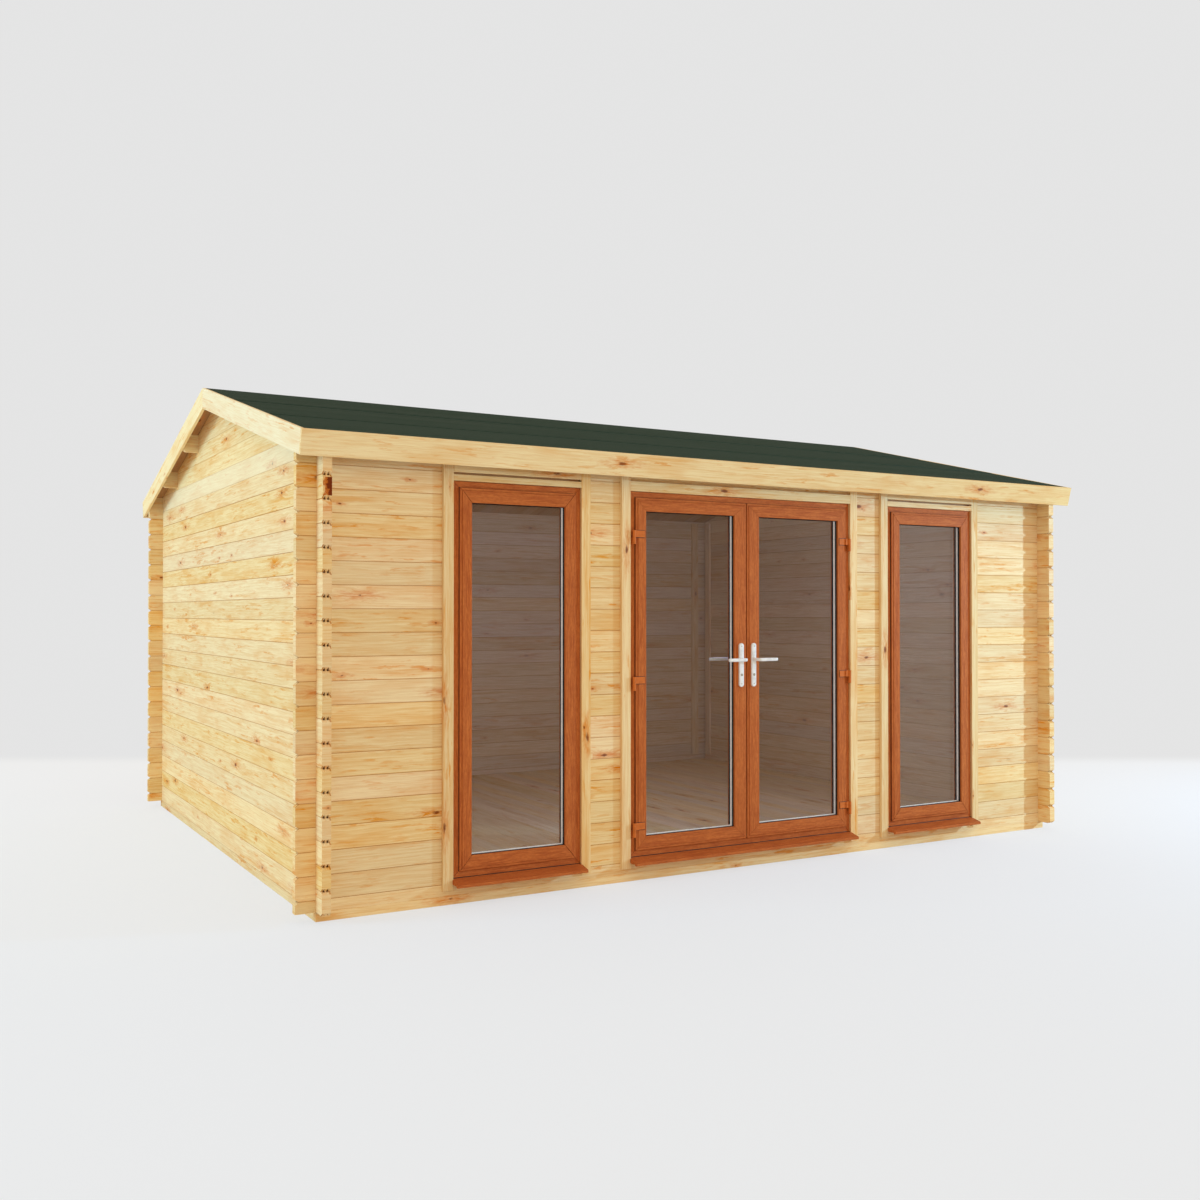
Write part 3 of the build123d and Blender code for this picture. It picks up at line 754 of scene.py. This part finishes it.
def slope_outline(side, near, far, top, thick):
    """A board on one slope, plumb at the ridge and square at the eaves."""
    return [
        (side * near, under_roof(near, top + thick)),
        square_cut(side, far, top + thick),
        square_cut(side, far, top),
        (side * near, under_roof(near, top)),
    ]


for name, _ in SIDES:
    node = name + "_barge_boards"
    low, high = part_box(node)
    mesh = new_mesh()
    for side in (-1, 1):
        outline = slope_outline(side, 0.2 * MM, FASCIA_BACK, 0.0, BARGE_DEPTH)
        prism(mesh, outline, low[0], high[0], DOWN[side], X.cross(DOWN[side]) * side)
    new_piece(name + "_bargeboards_planed", mesh, barge_pine, replaced=(node,))

mesh = new_mesh()
for side in (-1, 1):
    outline = [
        square_cut(side, EAVES_FACE, BARGE_DEPTH),
        square_cut(side, FASCIA_BACK, BARGE_DEPTH),
        square_cut(side, FASCIA_BACK, 0.0),
        square_cut(side, EAVES_FACE, 0.0),
    ]
    prism(mesh, outline, fascia_low[0], fascia_high[0])
new_piece("fascias_planed", mesh, fascia_pine, replaced=("fascias",))

ROOF_BOARDS = 54
# each strip of felt starts where the one above it ends
LAPS = (0.0, 0.74, 1.46, FASCIA_BACK)
for name, side in (("front", -1), ("back", 1)):
    node = name + "_roof_boards"
    low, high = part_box(node)
    mesh = new_mesh()
    outline = slope_outline(side, 0.0, FASCIA_BACK, FELT, ROOF_BOARD)
    for start, stop in row(low[0], high[0], ROOF_BOARDS):
        prism(mesh, outline, start, stop, DOWN[side], X, 2.5 * MM)
    new_piece(name + "_roof_boarding", mesh, shaded_soffit_pine, replaced=(node,))
    node = name + "_roof_felt"
    low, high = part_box(node)
    mesh = new_mesh()
    for near, far in zip(LAPS, LAPS[1:]):
        outline = slope_outline(side, near, far, 0.0, FELT)
        if near:
            outline[3] = (side * near, under_roof(near, FELT / 2))
        prism(mesh, outline, low[0], high[0], X, DOWN[side], 0)
    new_piece(name + "_felt_strips", mesh, roof_felt, replaced=(node,))

# ---- floor, corner battens and bearers -----------------------------------
FLOOR_BOARDS = 51
low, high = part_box("floor")
mesh = new_mesh()
for start, stop in row(low[0], high[0], FLOOR_BOARDS):
    board(mesh, (start, low[1], low[2]), (stop, high[1], high[2]), Y, X)
new_piece("floor_boards", mesh, floor_pine, replaced=("floor",))

BATTEN_WIDE = 70 * MM
BATTEN_THICK = 20 * MM
low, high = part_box("corner_battens")
back_inset, side_inset = high[0] - 90 * MM, high[1] - 30 * MM
mesh = new_mesh()
for side in (-1, 1):
    near, far = pair(side, back_inset, back_inset - BATTEN_WIDE)
    board(mesh, (near, high[1] - BATTEN_THICK, low[2]), (far, high[1], high[2]), Z, X)
    near, far = pair(side, high[0], high[0] - BATTEN_THICK)
    board(mesh, (near, side_inset - BATTEN_WIDE, low[2]), (far, side_inset, high[2]), Z, Y)
new_piece("corner_battens_planed", mesh, plank_pine, replaced=("corner_battens",))

low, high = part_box("bearers")
mesh = new_mesh()
reach = high[1] - THICK - 0.4 * MM
for side in (-1, 1):
    near, far = pair(side, high[1], high[1] - THICK)
    board(mesh, (low[0], near, low[2]), (high[0], far, high[2]), X, Z, 1 * MM)
    near, far = pair(side, high[0], high[0] - THICK)
    board(mesh, (near, -reach, low[2]), (far, reach, high[2]), Y, Z, 1 * MM)
new_piece("bearers_planed", mesh, log_pine, replaced=("bearers",))


# ---- window and door sections --------------------------------------------
def ring_bars(mesh, outer, hole, profile, slit=0.0, body=None):
    """Four mitred bars round an opening.

    outer, hole and body are (x low, x high, z low, z high). Each point of the profile
    is (edge, distance, depth): distance inside the outer edge, the hole or the body.
    """
    rims = []
    for edge, distance, depth in profile:
        base = {"o": outer, "h": hole, "b": body}[edge]
        d = distance * MM
        rims.append((base[0] + d, base[1] - d, base[2] + d, base[3] - d, deep(depth)))
    corners = ((0, 2), (1, 2), (1, 3), (0, 3))
    for n, run in enumerate((X, Z, -X, -Z)):
        own = new_mesh()
        first, last = [
            [own.verts.new(Vector((rim[x], rim[4], rim[z])) + run * step) for rim in rims]
            for (x, z), step in ((corners[n], slit), (corners[(n + 1) % 4], -slit))
        ]
        own.faces.new(first)
        own.faces.new(last[::-1])
        for i in range(len(rims)):
            j = (i + 1) % len(rims)
            own.faces.new((first[i], first[j], last[j], last[i]))
        bmesh.ops.recalc_face_normals(own, faces=own.faces[:])
        join_grained(mesh, own, Vector([abs(c) for c in run]), X if run.z else Z)


def ring_piece(name, rings, material, body, replaced=()):
    """A piece of mitred rings, each with what ring_bars takes after the mesh."""
    mesh = new_mesh()
    for ring in rings:
        ring_bars(mesh, *ring)
    new_piece(name, mesh, material, body, replaced)


def rim_of(node):
    low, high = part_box(node)
    return (low[0], high[0], low[2], high[2])


def grown(rim, by, up=None):
    """A rim moved out by this many millimetres, and its top by its own amount."""
    top = by if up is None else up
    return (rim[0] - by * MM, rim[1] + by * MM, rim[2] - by * MM, rim[3] + top * MM)


FRAME_PROFILE = [
    ("o", 0, 64), ("o", 0, 2), ("o", 2.0, 2), ("o", 2.0, -5.0), ("o", 3.0, -6), ("o", 46.4, -6),
    ("o", 47.5, -5.5), ("o", 48, -4.4), ("o", 48, 52), ("o", 59, 52), ("o", 60, 53), ("o", 60, 64),
]
SEAL_PROFILE = [
    ("h", -1.0, -8.6), ("h", 0.8, -9.6), ("h", 1.2, -8.4), ("h", 1.2, -2.0),
    ("h", 1.8, 0.2), ("h", 1.8, 3.0), ("h", -1.0, 3.0),
]
# the back gasket, carried on along the reveal as a black band: partly a real seal, partly a painted
# shade line
BACK_SEAL_PROFILE = [
    ("h", -1.5, 27), ("h", 1.4, 27), ("h", 1.4, 34.6), ("h", 0.7, 36.0), ("h", -1.5, 36),
]
SPACER_PROFILE = [
    ("h", -4, 8.2), ("h", 6.2, 8.2), ("h", 6.6, 8.8),
    ("h", 6.6, 14.0), ("h", 6.2, 14.6), ("h", -4, 14.6),
]
SEALANT_PROFILE = [("h", -4, 15.0), ("h", 5.2, 15.0), ("h", 5.2, 22.4), ("h", -4, 22.4)]
DRAUGHT_SEAL_PROFILE = [
    ("o", -1.6, -6), ("o", -1.6, -8.2), ("o", -0.6, -9.0), ("o", 6, -9.0), ("o", 6, -6),
]


def sash_profile(flange_back):
    """Stepped outer lip, flat face, small bevel at the glass, and the body behind."""
    return [
        ("o", 2.4, flange_back), ("o", 2.4, -10.6), ("o", 0, -11.0), ("o", 0, -16.0),
        ("o", 0.8, -17.4), ("o", 2.4, -18.0), ("o", 11.4, -18.0), ("o", 12.4, -16.8),
        ("o", 13.2, -16.8), ("o", 13.6, -20.0), ("o", 15.0, -21), ("h", -3.0, -21),
        ("h", -0.9, -20.2), ("h", 0, -18.0), ("h", 0, 3), ("h", -12, 3), ("h", -12, 27),
        ("h", 0, 27), ("h", 0, 44), ("h", -3, 47), ("b", 0, 47), ("b", 0, flange_back),
    ]


LIP = 19 * MM  # how far a sash laps over its frame
MEETING_LIP = 4 * MM  # where the two leaves meet
FRAME_SLIT = 1.2 * MM  # half-width of the line at a mitre
SASH_SLIT = 1.7 * MM
LEAF_SLIT = 0.8 * MM


def glazed(node, stem, body, left_lip, right_lip, flange_back, slit):
    """A sash or a door leaf, with its glass unit and seals."""
    outer = rim_of(node)
    glass = rim_of(stem + "_glass")
    hole = grown(glass, -10)
    unit = grown(hole, 0, 6)
    inner = (outer[0] + left_lip, outer[1] - right_lip, outer[2] + LIP, outer[3] - LIP)
    sash = (outer, hole, sash_profile(flange_back), slit, inner)
    ring_piece(node + "_sections", [sash], frame_oak, body, (node,))
    mesh = new_mesh()
    for near, back in ((3.1, 7.1), (22.9, 26.9)):
        start, stop = (glass[0], deep(near), glass[2]), (glass[1], deep(back), glass[3])
        board(mesh, start, stop, X, Z, 0.8 * MM)
    new_piece(stem + "_panes", mesh, pane_glass, body, (stem + "_glass",))
    ring_piece(stem + "_spacer_bar", [(outer, unit, SPACER_PROFILE)], spacer_metal, body)
    seals = [(outer, hole, SEAL_PROFILE), (outer, hole, BACK_SEAL_PROFILE)]
    seals.append((outer, unit, SEALANT_PROFILE))
    ring_piece(stem + "_glazing_seal", seals, seal_rubber, body)


for stem in OPENINGS:
    node = stem + "_frame"
    outer = rim_of(node)
    bars = (outer, grown(outer, -48), FRAME_PROFILE, FRAME_SLIT)
    ring_piece(node + "_sections", [bars], frame_oak, "cabin", (node,))
    bars = (grown(outer, -34), grown(outer, -60), DRAUGHT_SEAL_PROFILE)
    ring_piece(stem + "_draught_seal", [bars], seal_rubber, "cabin")
for name, _ in SIDES:
    stem = name + "_window"
    glazed(stem + "_sash", stem, "cabin", LIP, LIP, -6.0, SASH_SLIT)
for name, lips in (("left_door", (LIP, MEETING_LIP)), ("right_door", (MEETING_LIP, LIP))):
    glazed(name + "_leaf", name, name, *lips, -11.0, LEAF_SLIT)

# ---- boards round the openings, and sills --------------------------------
ARCHITRAVE = 56 * MM
packing = new_mesh()
for stem, head, rise in (("left_window", 31, 0.4), ("door", 53, 30), ("right_window", 31, 0.4)):
    node = stem + "_trim"
    low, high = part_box(node)
    rim = rim_of(stem + "_frame")
    over = high[2] - ARCHITRAVE + rise * MM
    lining = rim[3] + head * MM
    mesh = new_mesh()
    for near, back in ((-20, 0), (44, 64)):
        board(mesh, (low[0], deep(near), low[2]), (rim[0], deep(back), high[2]), Z, X)
        board(mesh, (rim[1], deep(near), low[2]), (high[0], deep(back), high[2]), Z, X)
    start, stop = rim[0] + 0.4 * MM, rim[1] - 0.4 * MM
    board(mesh, (start, deep(-20), rim[3]), (stop, deep(43.6), lining))
    # a strip set back in the gap over each opening, in the painted-shade tones
    board(packing, (start, deep(5), lining + 0.2 * MM), (stop, deep(30), over - 0.2 * MM), X, Z, 0)
    board(mesh, (start, deep(-20), over), (stop, FRONT, high[2]))
    board(mesh, (start, deep(44), rim[3]), (stop, deep(64), high[2]))
    new_piece(node + "_boards", mesh, plank_pine, replaced=(node,))
new_piece("settling_strips", packing, shaded_soffit_pine)

low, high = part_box("sills")
nose, foot, top = low[1], low[2], high[2]
ledge = top - 28 * MM
SILL_FALL = 20 / 79
mesh = new_mesh()
seals = new_mesh()
for stem in OPENINGS:
    rim = rim_of(stem + "_frame")
    section = [
        (nose, foot + 15 * MM),
        (nose, foot),
        (nose + 15 * MM, foot),
        (nose + 15 * MM, ledge),
        (deep(64), ledge),
        (deep(64), top),
        (deep(-6), top),
    ]
    horn = section[:4] + [(deep(-20.4), ledge), (deep(-20.4), rim[2] - SILL_FALL * 14.4 * MM)]
    prism(mesh, section, rim[0], rim[1], X, Y, 1.2 * MM)
    prism(mesh, horn, rim[0] - 5 * MM, rim[0] + 0.01 * MM, X, Y, 1.2 * MM)
    prism(mesh, horn, rim[1] - 0.01 * MM, rim[1] + 5 * MM, X, Y, 1.2 * MM)
new_piece("sill_sections", mesh, frame_oak, "cabin", ("sills",))
# a black strip under each frame: partly a seal, partly a painted shade line where frame meets sill
for stem in OPENINGS:
    rim = rim_of(stem + "_frame")
    under, over = rim[2] - 3 * MM, rim[2] + 2.5 * MM
    board(seals, (rim[0], deep(-8), under), (rim[1], deep(-5.5), over), X, Z, 0.6 * MM)
new_piece("sill_seals", seals, seal_rubber, "cabin")


# ---- door furniture ------------------------------------------------------
def turns(count):
    return [2 * math.pi * n / count for n in range(count)]


def ring_of(mesh, centre, right, up, wide, tall, count=24, power=0.75):
    """A ring of points on a rounded section; a power of 1 makes it a true ellipse."""
    made = []
    for turn in turns(count):
        c, s = math.cos(turn), math.sin(turn)
        a = math.copysign(abs(c) ** power, c) * wide
        b = math.copysign(abs(s) ** power, s) * tall
        made.append(mesh.verts.new(centre + right * a + up * b))
    return made


def join_skin(mesh, own, rings):
    """Close a row of rings into one skin, smooth but for its sharp edges, and join it."""
    for one, two in zip(rings, rings[1:]):
        for n in range(len(one)):
            m = (n + 1) % len(one)
            own.faces.new((one[n], one[m], two[m], two[n]))
    own.faces.new(rings[0][::-1])
    own.faces.new(rings[-1])
    bmesh.ops.recalc_face_normals(own, faces=own.faces[:])
    for face in own.faces:
        face.smooth = True
    for edge in own.edges:
        if len(edge.link_faces) == 2 and edge.calc_face_angle(0) > CREASE:
            edge.smooth = False
    join(mesh, own)


# each ring of a lever: its distance out along the stem or the grip, then its radii, in mm
STEM = ((0.5, 10.2), (1.1, 10.8), (5.0, 10.8), (8.0, 9.6), (30.0, 9.0), (38.0, 9.2))
GRIP = ((40, 6.6, 9.8), (95, 6.4, 9.6), (124, 6.2, 9.4), (126.8, 5.6, 8.8), (127.6, 4.6, 7.8))
BEND = 13
SPINDLE_RISE = 31 * MM
PLATE_RADIUS = 16
PLATE_REACH = 109 * MM
# each disc on a plate: its drop below the spindle and its radius, in mm
LOCK_AND_SCREWS = ((87, 7.5), (-76, 3.0), (138, 3.0))


def lever(mesh, hub, away, toward):
    """A lever handle: a round stem, a bend, and a flattened grip toward the hinges."""
    own = new_mesh()
    rings = [ring_of(own, hub + away * d * MM, toward, Z, r * MM, r * MM) for d, r in STEM]
    for n in range(1, 7):
        turn = math.radians(15 * n)
        c, s = math.cos(turn), math.sin(turn)
        spot = hub + away * (STEM[-1][0] + BEND * s) * MM + toward * (BEND - BEND * c) * MM
        wide, tall = (9.2 - 2.6 * n / 6) * MM, (9.2 + 0.6 * n / 6) * MM
        rings.append(ring_of(own, spot, toward * c - away * s, Z, wide, tall))
    for reach, wide, tall in GRIP:
        spot = hub + away * (STEM[-1][0] + BEND) * MM + toward * reach * MM
        rings.append(ring_of(own, spot, -away, Z, wide * MM, tall * MM))
    join_skin(mesh, own, rings)


def long_plate(mesh, middle, away):
    """A backplate with round ends and a domed edge."""
    own = new_mesh()
    rings = []
    for depth, shrink in ((0.0, 0.0), (7.0, 0.0), (8.6, 0.5), (9.6, 1.8), (10.0, 3.6)):
        ring = []
        for turn in turns(48):
            radius = (PLATE_RADIUS - shrink) * MM
            rise = math.copysign(PLATE_REACH, math.sin(turn)) + radius * math.sin(turn)
            spot = middle + X * radius * math.cos(turn) + Z * rise + away * depth * MM
            ring.append(own.verts.new(spot))
        rings.append(ring)
    join_skin(mesh, own, rings)


def disc(mesh, base, away, radius):
    """A lock's face or a screw's head, its rim eased."""
    own = new_mesh()
    rings = []
    for depth, shrink in ((0.0, 0.0), (1.4, 0.0), (1.9, 0.5)):
        size = (radius - shrink) * MM
        rings.append(ring_of(own, base + away * depth * MM, X, Z, size, size, power=1))
    join_skin(mesh, own, rings)


for name, side in SIDES:
    door = name + "_door"
    low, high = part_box(door + "_handle_plates")
    x, middle = (low[0] + high[0]) / 2, (low[2] + high[2]) / 2
    spindle_z = middle + SPINDLE_RISE
    mesh = new_mesh()
    spindle = block((8 * MM, 88.8 * MM, 8 * MM), (x, deep(13), spindle_z))
    round_edges(spindle, 0.6 * MM, 1)
    join(mesh, spindle)
    for face, away in ((deep(-31), -Y), (deep(57), Y)):
        lever(mesh, Vector((x, face, spindle_z)), away, X * side)
    node = door + "_lever"
    new_piece(name + "_lever_handles", mesh, handle_metal, name + "_lever", (node,))

    plates = new_mesh()
    locks = new_mesh()
    for face, away in ((deep(-21), -Y), (deep(47), Y)):
        long_plate(plates, Vector((x, face, middle)), away)
        for drop, radius in LOCK_AND_SCREWS:
            disc(locks, Vector((x, face, spindle_z - drop * MM)) + away * 9 * MM, away, radius)
    node = door + "_handle_plates"
    new_piece(name + "_long_plates", plates, handle_metal, door, (node,))
    new_piece(name + "_lock_and_screws", locks, lock_brass, door)

# ---- hinges --------------------------------------------------------------
low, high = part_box("door_frame_hinges")
HINGE_RADIUS = 9 * MM
HINGE_HALF = 37.3 * MM
HINGE_STEP = 790 * MM
HINGE_X = high[0] - HINGE_RADIUS
HINGE_Y = low[1] + HINGE_RADIUS
HINGE_FLOORS = (low[2], low[2] + HINGE_STEP, high[2] - HINGE_HALF)
LEAF_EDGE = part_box("right_door_leaf")[1][0]


def barrel(mesh, x, low, high):
    """An upright turned barrel on a hinge's axis, its ends eased."""
    own = new_mesh()
    radius = HINGE_RADIUS - 0.2 * MM
    rings = []
    for z, r in ((low, radius - MM), (low + MM, radius), (high - MM, radius), (high, radius - MM)):
        rings.append(ring_of(own, Vector((x, HINGE_Y, z)), X, Y, r, r, 28, 1))
    join_skin(mesh, own, rings)


fixed = new_mesh()
for name, side in SIDES:
    x = side * HINGE_X
    mesh = new_mesh()
    shade_pads = new_mesh()
    for low in HINGE_FLOORS:
        middle = low + HINGE_HALF
        barrel(fixed, x, low, middle)
        board(fixed, (x - 4.5 * MM, HINGE_Y, low), (x + 4.5 * MM, deep(-6), middle), Z, X, 0.8 * MM)
        board(fixed, (x - 9 * MM, deep(-9), low), (x + 9 * MM, deep(-6), middle), Z, X, 0.8 * MM)
        upper = middle + 0.4 * MM
        top = upper + HINGE_HALF
        barrel(mesh, x, upper, top)
        near, far = pair(side, HINGE_X, LEAF_EDGE - 9 * MM)
        board(mesh, (near, HINGE_Y, upper), (far, deep(-21), top), Z, X, 0.8 * MM)
        near, far = pair(side, LEAF_EDGE - 3 * MM, LEAF_EDGE - 55 * MM)
        board(mesh, (near, deep(-24), upper), (far, deep(-21.6), top), Z, X, 1 * MM)
        # a dark pad a little larger than each flag: painted shade round its edges
        start = (near - 2.5 * MM, deep(-21.7), upper - 3 * MM)
        board(shade_pads, start, (far + 2.5 * MM, deep(-20.9), top + 2.5 * MM), Z, X, 0)
    door = name + "_door"
    new_piece(name + "_leaf_hinge_halves", mesh, hinge_metal, door, (door + "_hinges",))
    new_piece(name + "_hinge_packers", shade_pads, seal_rubber, door)
new_piece("frame_hinge_halves", fixed, hinge_metal, "cabin", ("door_frame_hinges",))

# ---- finishes for the nodes that stay ------------------------------------
kept = {
    "left_gable_peak": peak_pine,
    "right_gable_peak": peak_pine,
    "ridge_purlin": purlin_pine,
    "purlins": purlin_pine,
    "floor_joists": purlin_pine,
}
for node, finish in kept.items():
    nodes[node].data.materials.clear()
    nodes[node].data.materials.append(finish)

# ---- studio --------------------------------------------------------------
STUDIO_GREY = rgb(0.78, 0.78, 0.78)
CAMERA_TURN = math.radians(-30.0)
scene = bpy.context.scene
scene.view_settings.view_transform = "Standard"

camera = bpy.data.cameras.new("camera")
camera.sensor_width = 36.0
camera.lens = 36.06
camera.clip_end = 200.0
viewer = bpy.data.objects.new("camera", camera)
viewer.location = (-4.171, -7.537, 1.449)
viewer.rotation_euler = (math.radians(90.633), 0.0, CAMERA_TURN)
scene.collection.objects.link(viewer)
scene.camera = viewer


def lamp(name, place, aim, size, power, colour, size_y=None):
    data = bpy.data.lights.new(name, "AREA")
    data.shape = "RECTANGLE"
    data.size = size
    data.size_y = size_y or size
    data.energy = power
    data.color = colour
    obj = bpy.data.objects.new(name, data)
    obj.location = place
    obj.rotation_euler = (Vector(aim) - Vector(place)).to_track_quat("-Z", "Y").to_euler()
    scene.collection.objects.link(obj)


lamp("gable_light", (-15.0, 0.6, 4.2), (-2.5, 0.0, 1.2), 5.0, 1040.0, (0.37, 0.74, 1.0))
lamp("front_light", (7.4, -5.55, 2.36), (1.5, -2.0, 1.3), 0.20, 415.0, (0.37, 0.70, 1.0))
lamp("room_light", (-0.3, -1.74, 2.26), (-0.3, 1.2, 0.4), 3.6, 30.0, (0.49, 0.58, 1.0), 0.12)

# warm light all round, plain grey where it is seen, and a softer tone in the glass
world = bpy.data.worlds.new("studio")
scene.world = world
world.use_nodes = True
world.node_tree.nodes.clear()
sky = Nodes(world.node_tree)
around = sky.fill("Background", Color=rgb(1.0, 0.82, 0.60), Strength=0.88)
mirrored = sky.fill("Background", Color=rgb(0.51, 0.43, 0.355), Strength=1.0)
seen = sky.fill("Background", Color=STUDIO_GREY, Strength=1.0)
unseen = sky.blend(sky.ray("Glossy"), around, mirrored)
sky.plug(sky.blend(sky.ray("Camera"), unseen, seen), sky.node("OutputWorld").inputs["Surface"])

# studio floor: a paper sheet squared to the camera, fading out at its far edge
SHEET_END = 12.4
SHEET_WIDE = 80.0
SHEET_LONG = 40.0
mesh = bmesh.new()
bmesh.ops.create_grid(mesh, x_segments=1, y_segments=1, size=1.0)
bmesh.ops.scale(mesh, vec=(SHEET_WIDE / 2, SHEET_LONG / 2, 1.0), verts=mesh.verts)
bmesh.ops.translate(mesh, vec=(0.0, SHEET_END - SHEET_LONG / 2, 0.0), verts=mesh.verts)
data = bpy.data.meshes.new("floor_sheet")
mesh.to_mesh(data)
mesh.free()
sheet = bpy.data.objects.new("floor_sheet", data)
sheet.location = (viewer.location[0], viewer.location[1], 0.0)
sheet.rotation_euler = (0.0, 0.0, CAMERA_TURN)
scene.collection.objects.link(sheet)

paper = Shader("paper")
ahead = paper.split(paper.place())[1]
level = paper.ramp(ahead, 4.0, 11.0, 0.915, 0.985)
matt = paper.fill("BsdfDiffuse", Color=rgb(0.70, 0.775, 0.915))
lit = paper.fill("Emission", Color=paper.combine(level, level, level))
wall = paper.fill("Emission", Color=STUDIO_GREY)
faded = paper.ramp(ahead, SHEET_END - 0.9, SHEET_END - 0.05)
seen = paper.blend(faded, paper.blend(0.62, matt, lit), wall)
plain = paper.fill("BsdfDiffuse", Color=STUDIO_GREY)
mirrored = paper.fill("Emission", Color=rgb(0.53, 0.45, 0.375))
unseen = paper.blend(paper.ray("Glossy"), plain, mirrored)
paper.show(paper.blend(paper.ray("Camera"), unseen, seen))
data.materials.append(paper.material)
sheet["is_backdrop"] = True

low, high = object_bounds()
